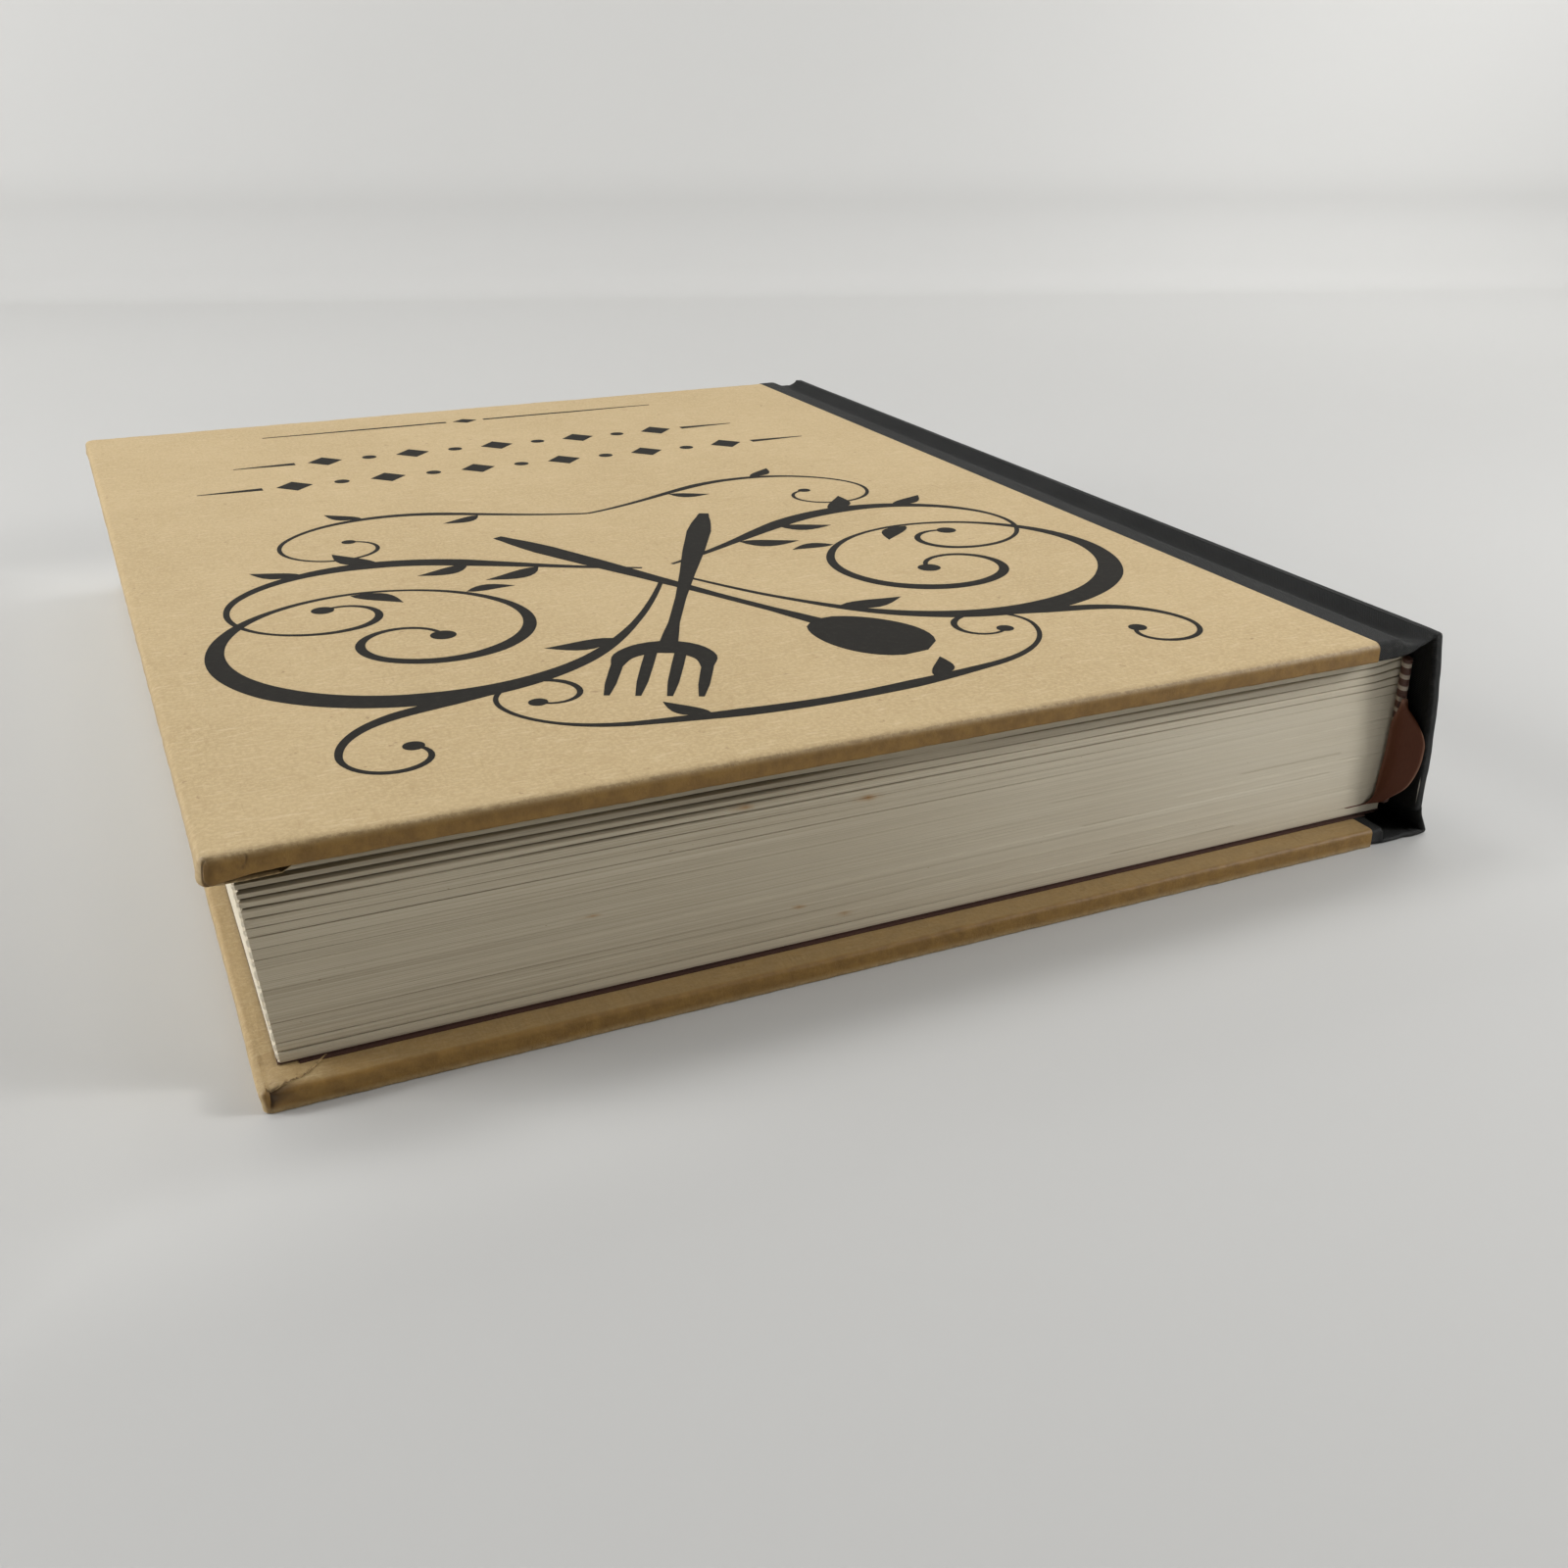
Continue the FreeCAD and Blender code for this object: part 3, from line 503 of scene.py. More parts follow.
# Each level through a section: its share of the way up, how much of the gap's depth it sinks by, and, for
# those beside a gap, how far from the gap's middle it lies, in halves of the gap.
LEVELS = [(0.0, 1.0, 0.0), (0.05, 0.55, 0.45), (0.14, 0.10, 1.0), (0.26, 0.0, None), (0.38, 0.0, None),
          (0.50, 0.0, None), (0.62, 0.0, None), (0.74, 0.0, None), (0.90, 0.10, -1.0), (0.965, 0.55, -0.45)]
# Small stains on the head: x, z, half width and half height.
STAINS = [(8.3, 26.0, 1.3, 0.42), (12.0, 7.2, 1.0, 0.30), (28.5, 28.3, 1.0, 0.32), (19.6, 10.0, 0.8, 0.18),
          (-20.0, 29.4, 0.5, 0.2), (52.0, 16.0, 0.9, 0.16), (-76.5, 20.4, 0.22, 0.65)]


def make_page_block(material):
    low, high = span("text_block")
    back, head, tail, floor, top = low[0], high[1], low[1], low[2], high[2]
    lean = 2.5
    width = high[0] - lean - back
    corner = 0.55
    band_reach = 9.5

    # once round the block: x from its back, y, the way out of its surface, and which side this is
    on_head, on_fore, on_tail, on_back = range(4)
    path = [(x, head, 0, 1, on_head)
            for x in spaced((0.3, 12, 0.7), (12, width - 14, 1.5), (width - 14, width - 0.4, 0.8))]
    for angle in np.radians((22.5, 45, 67.5)):
        sine, cosine = math.sin(angle), math.cos(angle)
        path.append((width - corner * (1 - sine), head - corner * (1 - cosine), sine, cosine, on_fore))
    fore_ys = spaced((head - 0.4, head - 20, 1.0), (head - 20, tail + 0.4, 2.3))
    path += [(width, y, 1, 0, on_fore) for y in fore_ys]
    path += [(x, tail, 0, -1, on_tail) for x in spaced((width - 0.3, 0.3, 2.6))]
    path += [(0, y, -1, 0, on_back) for y in spaced((tail + 0.4, head - 0.4, 5.0))]
    across, along, out_x, out_y, side = np.array(path + path[:1]).T
    at_ends = (side == on_head) | (side == on_tail)
    at_fore = side == on_fore
    toward_fore = ease(across, 0, width)
    toward_back = 1 - ease(across, 0.0, band_reach)
    opening = np.where(at_ends, 0.55 + 0.4 * toward_fore + 1.1 * np.exp((across - width) / 9.0), 1.0)

    def wave(height, size, seed):
        return ripple(join(across, along, height), size, seed)

    ends = [(floor, 0.0, 0.0)] + SECTION_ENDS + [(top, 0.0, 0.0)]
    rings, gaps = [], []
    rng = np.random.default_rng(5)
    for (z0, open0, _), (z1, open1, slope) in zip(ends, ends[1:]):
        for share, sink, from_gap in LEVELS:
            line, opened = (z0, open0) if share < 0.5 else (z1, open1)
            # how far the gap opens at each place round the block
            spread = np.clip(opening * (1 + 0.6 * wave(line * 9, 40, 7)), 0.05, 2.2)
            if line == SECTION_ENDS[0][0]:
                # the ribbon lies in the lowest gap
                spread = np.where(at_ends & (across < band_reach), 1.6, spread)
            # the gaps close up towards the spine, the tight ones first
            closing = at_ends * (0.85 - 0.8 * min(opened, 1.0)) * (1 - toward_fore)
            spread = spread * (1 - closing)
            half = np.where(at_fore, 0.34, np.maximum(0.30 * opened * spread, 0.015))
            deep = np.where(at_ends, 0.008 + 1.45 * opened * spread, 0.35)
            deep = np.where(at_fore, 0.52 + 0.10 * math.sin(line * 5.0), deep)
            level = z0 + (z1 - z0) * share
            z = level if from_gap is None else line + from_gap * half
            # a section's leaves creep out towards its middle at the fore-edge
            inset = sink * deep + at_fore * 0.40 * abs(share - 0.5)
            # its cut face slopes, more so towards the fore-edge
            inset = inset + at_ends * slope * (share - 0.5) * (0.5 + toward_fore)
            # no leaf is cut or laid quite like the next
            inset = inset + 0.03 * wave(level * 60, 60, 11)
            inset = inset + rng.uniform(0.0, 0.035) * (0.4 + 0.6 * toward_fore)
            # the upper sections ride up over the band
            z = z + at_ends * 0.7 * toward_back ** 2 * ease(z, 24.5, 32.0) * (1 - ease(z, 33.0, top))
            if not rings:
                # the lowest ring is flat
                z, inset = floor, 0.12
            z = np.clip(z, floor, top)
            x = back + across * (1 + lean / width * (z - floor) / (top - floor)) - inset * out_x
            rings.append(join(x, along - inset * out_y, z))
            # how much painted shade each gap gets
            gaps.append(sink * np.clip(opened * spread * 1.1, 0, 1) * at_ends)
    rings.append(rings[-1] * (1, 1, 0) + (0, 0, top))
    gaps.append(gaps[-1] * 0)
    rings, gaps = np.array(rings), np.array(gaps)
    stain = np.zeros(gaps.shape)
    for x, z, wide, tall in STAINS:
        stain = np.maximum(stain, hump(rings[..., 0], x, wide) * hump(rings[..., 2], z, tall))
    stain = stain * (rings[..., 1] > head - 2)
    # painted shade: the edges are darkened more and more towards the fore-edge
    fore_shade = np.broadcast_to(0.42 * ease(across, 15, 155) * at_ends, gaps.shape)
    patches = [rings, cap(rings[0], (1, 0.9, 0)), cap(rings[-1], (1, 0.9, 0))]
    block = mesh_piece("page_block", patches, smooth_angle=50,
                       fields={"gap": [gaps], "speck": [stain], "fore_shade": [fore_shade]})
    return stand_in(block, "root", "pages", material, "text_block")


# --- cover paper ---


def rounding(a, b):
    """What turns a place on a square corner into one on a round corner, as a factor of both its lengths."""
    return np.maximum(a, b) / np.maximum(np.hypot(a, b), 1e-9)


def make_cover_paper(side, material):
    """Paper wrapped round three edges of a board and turned in, as one skin."""
    front = side == "front"
    low, high = span(side + "_cover_paper")
    near, fore, half = low[0], high[0], high[1]
    depth = high[2] - low[2]
    turn_in = 15.0
    skin = 0.3
    corner = 1.7 if front else 1.3
    outer_bend, inner_bend = (1.20, 0.40) if front else (0.30, 0.80)
    # how far the worn fore-edge stands out past the board, and how far back that begins
    spread_out, spread_from = (0.5, 6.0) if front else (0.8, 3.0)
    seed = 20 if front else 40

    xs = spaced((near, fore - turn_in, 1.35), (fore - turn_in, fore - 5.6, 0.8),
                (fore - 5.6, fore - 3.8, 0.13), (fore - 3.8, fore - 2.4, 0.28), (fore - 2.4, fore, 0.1))
    half_ys = spaced((0, half - turn_in, 2.4), (half - turn_in, half - 4, 1.0), (half - 4, half, 0.28))
    ys = np.concatenate([-half_ys[:0:-1], half_ys])
    ws = np.array([0, 0.1, 0.22, 0.4, 0.62, 0.9, 1.3, 1.7, 2.1, 2.5, 2.78, 3.0, 3.18, 3.3, 3.4]) / 3.4 * depth

    def pocket(x, y, level):
        """How far the head turn-in sinks behind the fore-edge one, just past the corner: 0 to 1."""
        reach = 0.30 + 1.7 * ease(level, 0.6, depth + 0.4)
        deep = ease(fore - x, 0.66, 0.80) * hump(fore - x, 0.6, reach)
        return deep * ease(level, 0.5, 1.7) * ease(y, half - 1.3, half - 0.6)

    def creased(x, y, level):
        """The lines where the corner's folded layers show on the head edge: 0 to 1."""
        tab = fore - 4.75 - 0.55 * (1 - ((level - 1.0) / 1.1) ** 2)
        lap = fore - 0.16 - 1.3 * np.abs((level - 1.9) / 1.7) ** 2.6
        at_tab = 0.8 * hump(x, tab, 0.13) * ease(level, 0.2, 0.6) * (1 - ease(level, 2.0, 2.6))
        at_lap = hump(x, lap, 0.12) * ease(level, 0.25, 0.7)
        return np.maximum(at_tab, at_lap) * (y > half - 0.5)

    def shaped(points, inset):
        """Nominal box places made into the rounded, slightly uneven skin."""
        flat_x, flat_y, level = np.moveaxis(points, -1, 0)
        x = near + (flat_x - near) * (fore - inset - near) / (fore - near)
        y = flat_y * (half - inset) / half
        w = inset + level * (depth - 2 * inset) / depth
        middle = depth / 2
        bend_x, bend_y = fore - corner, half - corner
        round_side = np.maximum(np.where(w < middle, outer_bend, inner_bend) - inset, 0.08)
        # round the two open corners in plan
        in_x, in_y = np.maximum(x - bend_x, 0), np.maximum(np.abs(y) - bend_y, 0)
        scale = rounding(in_x, in_y)
        x = np.where(in_x > 0, bend_x + in_x * scale, x)
        y = np.where(in_y > 0, np.sign(y) * (bend_y + in_y * scale), y)
        # how far out each place is, and the way out of the nearest edge
        in_x, in_y = x - bend_x, np.abs(y) - bend_y
        in_corner = (in_x > 0) & (in_y > 0)
        far = np.where(in_corner, np.hypot(in_x, in_y), np.maximum(in_x, in_y))
        away = unit(np.where(in_corner, (in_x, in_y), (in_x >= in_y, in_x < in_y)).T).T
        away_x, away_y = away[0], away[1] * np.sign(y)
        # round the arrises along the edges
        flat_side = middle - inset - round_side
        out, up = far - (corner - inset - round_side), np.abs(w - middle) - flat_side
        scale = np.where((out > 0) & (up > 0), rounding(out, up), 1)
        x = x + away_x * out * (scale - 1)
        y = y + away_y * out * (scale - 1)
        w = middle + np.sign(w - middle) * (flat_side + up * scale)
        # small dents, larger along the edges, crumpled at the corners
        out, up = out * scale, up * scale
        tilt = unit(np.clip((out / round_side, up / round_side), 0, 1).T).T
        out_side, out_face = tilt[0], tilt[1] * np.sign(w - middle)
        near_edge = np.clip(1 + out / 1.5, 0, 1)
        to_corner = np.hypot(flat_x - fore, np.abs(flat_y) - half)
        dent = 0.022 * ripple(points, 16, seed) + 0.012 * ripple(points, 5, seed + 1)
        dent = dent + near_edge * (
            0.045 * ripple(points, 3.2, seed + 2) + 0.03 * ripple(points, 1.3, seed + 3) - 0.04)
        # the paper is folded double at the corners, thickest on the inner face
        thickest = 0.34 * ease(level, 0.8, depth)
        dent = dent + hump(to_corner, 0, 4.0) * (0.10 * ripple(points, 2.6, seed + 4) + thickest)
        dent = dent * ease(flat_x, near, near + 2)
        if front:
            swell = 0.06
            dent = dent - 0.10 * creased(flat_x, flat_y, level)
        else:
            swell = 0.30 * ease(w, 0, 2.6) * hump(to_corner, 9.0, 7.0)
            dent = np.minimum(dent, thickest) - 0.55 * pocket(flat_x, flat_y, level)
        x = x + spread_out * ease(flat_x, fore - spread_from, fore)
        x = x + away_x * out_side * (dent + swell)
        y = y + away_y * out_side * (dent + swell)
        w = w + out_face * dent
        if front:
            # the corner's layers have come loose and sag below the board, clear of the leaves
            clear = np.maximum(ease(np.abs(y), half - 5.0, half - 4.0), ease(x, fore - 2.2, fore - 1.2))
            w = w + 0.62 * clear * hump(to_corner, 0, 4.5) * ease(level, 1.0, depth) * (y > 0)
        return join(x, y, high[2] - w if front else low[2] + w)

    def grid(order, a, b, rest):
        """A patch of nominal places: order says which of x, y, w runs along a, along b, or is rest."""
        parts = dict(zip(order, (np.array(a)[:, None], np.array(b), rest)))
        return join(*[parts[axis] for axis in "xyw"])

    fold_x, fold_y = fore - turn_in, half - turn_in
    inner_x, near_x = xs[xs >= fold_x - 1e-6], xs[xs <= fold_x + 1e-6]
    head_ys, tail_ys = ys[ys >= fold_y - 1e-6], ys[ys <= 1e-6 - fold_y]
    mid_ys = ys[np.abs(ys) <= fold_y + 1e-6]
    nominals = [grid(*row) for row in (
        ("xyw", xs, ys, 0.0), ("xwy", xs, ws, half), ("xwy", xs, ws, -half), ("ywx", ys, ws, fore),
        ("xyw", xs, head_ys, depth), ("xyw", xs, tail_ys, depth), ("xyw", inner_x, mid_ys, depth))]
    # lines where the outer and the inner side of the skin are joined
    rims = [grid(*row).reshape(-1, 3) for row in (
        ("ywx", ys, [0.0], near), ("ywx", [half], ws, near), ("ywx", [-half], ws, near),
        ("ywx", head_ys, [depth], near), ("ywx", tail_ys, [depth], near),
        ("xyw", near_x, [fold_y], depth), ("xyw", near_x, [-fold_y], depth),
        ("xyw", [fold_x], mid_ys, depth))]
    patches = [shaped(places, inset) for inset in (0.0, skin) for places in nominals]
    patches += [np.stack([shaped(line, 0.0), shaped(line, skin)]) for line in rims]
    nominals = 2 * nominals + [np.stack([line, line]) for line in rims]
    edges, side_shade, pockets = [], [], []
    for places in nominals:
        x, y, w = np.moveaxis(places, -1, 0)
        to_edge = np.minimum(fore - x, half - np.abs(y))
        # the fore-edge takes less scuffing, and less painted shade, than the head and the tail
        at_fore = ease(half - np.abs(y) - (fore - x), -0.6, 0.6)
        arris = np.maximum(hump(w, 0, 1.1), 0.25 * hump(w, depth, 0.75))
        edges.append(hump(to_edge, 0, 0.45) * arris * (1 - 0.5 * at_fore))
        # painted shade on the side faces, and on the turn-ins away from the fore strip
        turned_in = 0.55 * ease(w, depth - 1, depth) * (1 - 0.85 * ease(x, fore - 10, fore - 5))
        on_edge = hump(to_edge, 0, 1.1) * (1 - 0.75 * at_fore)
        side_shade.append(np.maximum(on_edge, turned_in) * ease(w, -0.35, 1.3))
        # painted shade along the creases of the front corner and in the pocket of the rear one
        pockets.append(0.62 * creased(x, y, w) if front else 0.95 * pocket(x, y, w) ** 0.6)
    fold = front_fold(fore, half, high[2] - depth) if front else rear_fold(shaped, fore, half, depth)
    # every fold layer gets some painted shade, and its shaded patches get more
    for layer, hidden in fold:
        patches.append(layer)
        for values, value in ((edges, 0.0), (side_shade, 0.3), (pockets, hidden)):
            values.append(np.full(layer.shape[:2], value))
    paper = mesh_piece(side + "_cover_wrap", patches, smooth_angle=50,
                       fields={"edge": edges, "side": side_shade, "pocket": pockets})
    return stand_in(paper, side + "_cover", "kraft_paper", material, side + "_cover_paper")


def rear_fold(shaped, fore, half, depth):
    """The fore-edge turn-in's end, lying on the head turn-in along the mitre, and how dark each patch is."""
    from_corner = [(-0.70, -0.40), (-1.5, -0.64), (-3.42, -1.40), (-4.77, -1.98), (-5.96, -3.00),
                   (-7.19, -4.19), (-8.55, -5.60), (-10.15, -7.40)]
    line = smooth_line(np.array(from_corner) + (fore, half), 0.2)
    line[:, 1] += 0.04 * ripple(join(*line.T, 0), 3.0, 31)
    shares = np.array([0.0, 0.03, 0.10, 0.25, 0.55, 1.0])
    x = line[:, :1]
    flat = shaped(join(x, line[:, 1:] - shares * 9.0, depth), 0.0)
    raised = (0.20 + 0.25 * np.exp((x - fore) / 1.8)) * (1 - shares) ** 1.5
    raised = raised * (1 - ease(x, fore - 1.9, fore - 0.9) * ease(shares, 0.02, 0.12))
    raised = np.maximum(raised, 0.012 + 0.05 * np.exp((x - fore) / 0.8))
    upper, lower = flat.copy(), flat.copy()
    upper[..., 2] += raised
    lower[..., 2] += np.minimum(raised - 0.13, -0.04)
    # the cut end under the mitre is in shade
    return zip(sheet(upper, lower), (0.0, 0.0, 0.0, 0.0, 0.6, 0.0))


def front_fold(fore, half, underside):
    """The loosened end of the head turn-in, hanging a little below the corner, and how dark each patch is."""
    x = spaced((fore - 0.35, fore - 1.2, 0.12), (fore - 1.2, 91.7, 0.3))[:, None]
    hang = np.interp(x, (91.7, 92.3, 92.9, 96.6, 99.3, 101.0, 101.7),
                     (0.05, 0.36, 0.68, 0.85, 0.95, 0.90, 0.60))
    thick = np.interp(x, (91.7, 92.9, 96.6, 99.3, 101.0, 101.7), (0.10, 0.13, 0.30, 0.45, 0.60, 0.50))
    bend = 1.5
    outline = half - 0.12 - bend + np.sqrt(np.maximum(bend ** 2 - np.maximum(x - fore + bend, 0) ** 2, 0.04))
    shares = np.array([0.0, 0.05, 0.12, 0.3, 0.6, 1.0])
    y = outline * (1 - shares) + (half - 4.7) * shares
    fall = (1 - shares) ** 1.4
    low = underside - 0.04 - hang * fall + 0.5 * thick * (shares < 0.01)
    high = np.maximum(low + 0.10 + (thick - 0.10) * fall * (shares > 0.01) * 0.96, low + 0.01)
    wave = 0.05 * ripple(join(x, y, 0), 2.2, 33)
    upper = join(x, y, np.minimum(high + wave, underside + 0.1))
    lower = join(x, y, np.minimum(low + wave, underside))
    # the side that faces the board is in shade
    return zip(sheet(upper, lower), (0.6, 0.0, 0.0, 0.0, 0.0, 0.0))


# --- bookcloth ---


def case_cloth(name, face, under, half, wrinkle, seed, end_lift=None):
    """Cloth over an edge of the case: its face, its ends turned round the head and tail, and its turn-ins.

    face and under are matching (x, z) lines: the outer surface, and the turned-in surface behind it.
    end_lift is how far each of them rises at the very ends, as two lists.
    """
    skin, hem = 0.3, 15.0
    face, under = np.asarray(face, float), np.asarray(under, float)
    thick = np.linalg.norm(under - face, axis=1)
    skins = np.maximum(np.minimum(skin, thick / 2 - 0.02), 0.03)
    ys = spaced((0, half - 16, 2.2), (half - 16, half - 3, 0.9), (half - 3, half - 0.8, 0.45))[:-1]
    outer, inner = [], []
    for far, layer in zip(thick, skins):
        # from the middle out: y, how deep behind the face, and the way out of the cloth
        bend = min(0.75, far / 2)
        line = [(y, 0.0, 0.0, -1.0) for y in ys]
        for start, centre in ((-90, bend), (0, far - bend)):
            for angle in np.radians(np.linspace(start, start + 90, 6)):
                sine, cosine = math.sin(angle), math.cos(angle)
                line.append((half - bend + bend * cosine, centre + bend * sine, cosine, sine))
            if start < 0:
                line += [(half, level, 1.0, 0.0) for level in np.linspace(bend, far - bend, 5)[1:-1]]
        line = np.array(line + [(y, far, 0.0, 1.0) for y in spaced((half - 1.4, half - hem, 1.1))])
        outer.append(line[:, :2])
        inner.append(line[:, :2] - layer * line[:, 2:])
    (face_x, face_z), (in_x, in_z) = face.T[..., None], unit(under - face).T[..., None]
    lifts = np.zeros((2, len(face), 1)) if end_lift is None else np.array(end_lift)[..., None]
    run = lengths_along(face)[:, None]
    patches, places = [], []
    for sign in (1, -1):
        for lines in (outer, inner):
            y, sunk = np.moveaxis(np.array(lines), -1, 0)
            level = np.clip(sunk / np.maximum(thick, 1e-6)[:, None], 0, 1)
            nominal = join(face_x, y * sign, face_z)
            push = wrinkle * (0.35 + hump(y, half, 5.0)) * (
                ripple(nominal * (1.0, 0.35, 1.0), 5.0, seed) + 0.5 * ripple(nominal, 1.8, seed + 1))
            push = np.minimum(push, 0.02) * (1 - 2 * level)
            lift = hump(y, half, 4.5) * (lifts[0] * (1 - level) + lifts[1] * level)
            ragged = np.minimum(0, 0.14 * ripple(nominal, 2.4, seed + 2) - 0.06)
            ragged = ragged * ease(y, half - 1.2, half - 0.2)
            depth = sunk - push
            patches.append(join(face_x + in_x * depth, sign * (y + ragged), face_z + in_z * depth + lift))
            places.append(join(run, (y + sunk) * sign))
    rims = []
    for first, second in (patches[:2], patches[2:]):
        for edge in ((slice(None), -1), 0, -1):
            rims.append(np.stack([first[edge], second[edge]]))
    cloth = mesh_piece(name, patches + rims, merge=0.002)
    set_weave(cloth, patches, places)
    return cloth


def set_weave(piece, patches, places):
    """Gives each corner of a piece its place on the flat cloth, in millimetres."""
    points = np.concatenate([p.reshape(-1, 3) for p in patches])
    flat = np.concatenate([p.reshape(-1, 2) for p in places])
    tree = KDTree(len(points))
    for i, point in enumerate(points * MM):
        tree.insert(point, i)
    tree.balance()
    mesh = piece.data
    nearest = np.array([tree.find(v.co)[1] for v in mesh.vertices])
    corners = np.empty(len(mesh.loops), int)
    mesh.loops.foreach_get("vertex_index", corners)
    layer = mesh.uv_layers.new(name="weave")
    layer.uv.foreach_set("vector", flat[nearest[corners]].astype(np.float32).ravel())


# The spine's outer face is an arc from its foot to the ridge; its inner face is the same arc further in.
SPINE_THICKNESS = 2.1
SPINE_CENTRE = (60.12, 10.03)
SPINE_CURVE = 160.0
RIDGE_BEND = 0.7


def spine_face(z):
    return SPINE_CENTRE[0] - np.sqrt(SPINE_CURVE ** 2 - (np.asarray(z, float) - SPINE_CENTRE[1]) ** 2)


def make_spine_cloth(material):
    low, high = span("spine_cloth")
    ridge = high[2]
    heights = spaced((low[2], ridge - RIDGE_BEND, 1.2))
    face = [(spine_face(z), z) for z in heights]
    under = [(spine_face(z) + SPINE_THICKNESS, z) for z in heights]
    corner = spine_face(ridge)
    behind = corner + SPINE_THICKNESS
    for angle in np.linspace(0.25, math.pi / 2, 5):
        face.append((corner + RIDGE_BEND * (1 - math.cos(angle)), ridge - RIDGE_BEND * (1 - math.sin(angle))))
        under.append((behind, ridge - RIDGE_BEND + 0.08 * angle))
    for x in (corner + 1.2, corner + 1.75):
        face.append((x, ridge - 0.02))
        under.append((behind, ridge - 0.45))
    cloth = case_cloth("spine_cloth_cover", face, under, high[1], 0.10, 61)
    return stand_in(cloth, "root", "book_cloth", material, "spine_cloth")


def make_front_cloth(material):
    """Cloth from the ridge down through the front joint and on to the board."""
    (near, _, bottom), (far, half, top) = span("front_board_cloth")
    ridge = spine_face(top)
    groove = near - 4.15
    face = smooth_line([
        (ridge + 1.5, top - 0.05), (ridge + 2.0, top - 0.25), (ridge + 2.6, top - 0.75),
        (groove - 1.2, top - 1.68), (groove, top - 1.93), (groove + 1.2, top - 1.68),
        (near - 1.3, top - 0.95), (near - 0.3, top - 0.30), (near + 0.7, top), (near + 2.2, top),
        (far, top)], 0.45)
    x, z = face.T
    # the joint is two layers thick, and the board's edge stands behind it
    lean = 0.35 * (1 - ease(x, ridge + 1.5, groove))
    beyond = ease(x, groove - 2.2, groove + 0.6)
    below = (z - 1.0) * (1 - beyond) + (bottom + 0.12) * beyond
    under = join(x + lean, np.where(x > near, bottom, below))
    lifts = (0.75 * hump(x, groove, 1.9), hump(x, groove - 0.6, 1.8))
    cloth = case_cloth("front_joint_and_strip", face, under, half, 0.17, 71, end_lift=lifts)
    stand_in(cloth, None, "book_cloth", material, "front_joint_cloth", "front_board_cloth")
    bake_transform(cloth)
    return cloth


def make_rear_cloth(material):
    """Cloth from the foot of the spine, out to the table and back under the rear cover."""
    foot_low, foot_high = span("rear_joint_cloth")
    (near, _, _), (far, half, top) = span("rear_board_cloth")
    foot, waist = foot_low[0], foot_high[2]
    pinch = spine_face(waist)
    face = smooth_line([
        (pinch - 0.05, waist + 0.3), (pinch - 0.35, waist - 1.0), (foot + 0.75, waist - 3.2),
        (foot + 0.15, 0.62), (foot + 0.35, 0.16), (foot + 1.1, 0.03), (foot + 3.0, 0.0), (near - 3.0, 0.0),
        (near - 0.2, 0.0), (near + 1.2, 0.0), (far, 0.0)], 0.5)
    x, z = face.T
    rise = ease(z, 0.0, waist)
    standing = (np.maximum(x, foot) + 1.15 + 0.5 * (1 - rise), np.maximum(z, 1.0) + 0.15 * (1 - rise))
    lying = (x, 1.05 + (top - 1.05) * ease(x, near - 0.2, near + 0.05))
    under = np.where(x < foot + 3.0, standing, lying).T
    cloth = case_cloth("rear_joint_and_strip", face, under, half, 0.15, 81)
    stand_in(cloth, None, "book_cloth", material, "rear_joint_cloth", "rear_board_cloth")
    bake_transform(cloth)
    return cloth


# --- bands and ribbon ---


def make_band(end, material):
    """A core wound with thread, seated on the folds."""
    low, high = span(end + "_band")
    radius = 0.9
    centre_x = span("text_block")[0][0] + 0.1
    centre_y = high[1] - radius if end == "head" else low[1] + radius
    pitch, threads = 2.06, 5
    angles = np.linspace(0, 2 * math.pi, 25)
    rings, turns = [], []
    for z in spaced((low[2], high[2], 0.085)):
        phase = (z + 0.20 * np.sin(angles) - low[2]) / pitch
        share = phase - np.floor(phase)
        thread = np.abs(np.sin(phase * math.pi * threads))
        swell = 0.86 + 0.07 * thread ** 0.7 - 0.05 * (1 - ease(np.abs(share - 0.53), 0.0, 0.05))
        end_round = math.sqrt(np.clip(min(z - low[2], high[2] - z) / 0.6, 0.02, 1))
        out = radius * np.minimum(1, swell / 0.93) * end_round
        rings.append(join(centre_x + out * np.cos(angles), centre_y + out * np.sin(angles), z))
        turns.append(ease(share, 0.56, 0.63) * (1 - ease(share, 0.93, 1.0)))
    rings, turns = np.array(rings), np.array(turns)
    bead = mesh_piece(end + "_band_bead", [rings, cap(rings[0]), cap(rings[-1])],
                      fields={"turn": [turns, turns[[0, 0]], turns[[-1, -1]]]})
    return stand_in(bead, "root", "band_thread", material, end + "_band")


def make_band_skirt(end, material):
    """The paper that a band is glued by, on the folds behind it."""
    low, high = span(end + "_band")
    back = span("text_block")[0][0]
    start, away = (high[1], -1) if end == "head" else (low[1], 1)
    y = start + away * np.linspace(1.2, 11.8, 9)[:, None]
    z = np.linspace(low[2] + 0.3, high[2] - 0.3, 21)
    face = join(back - 0.30 + 0.03 * ripple(join(0, y, z), 6, 91), y, z)
    skirt = mesh_piece(end + "_band_skirt", sheet(face, join(back - 0.02, y, z)), smooth_angle=30)
    return stand_in(skirt, "root", "lining_paper", material)


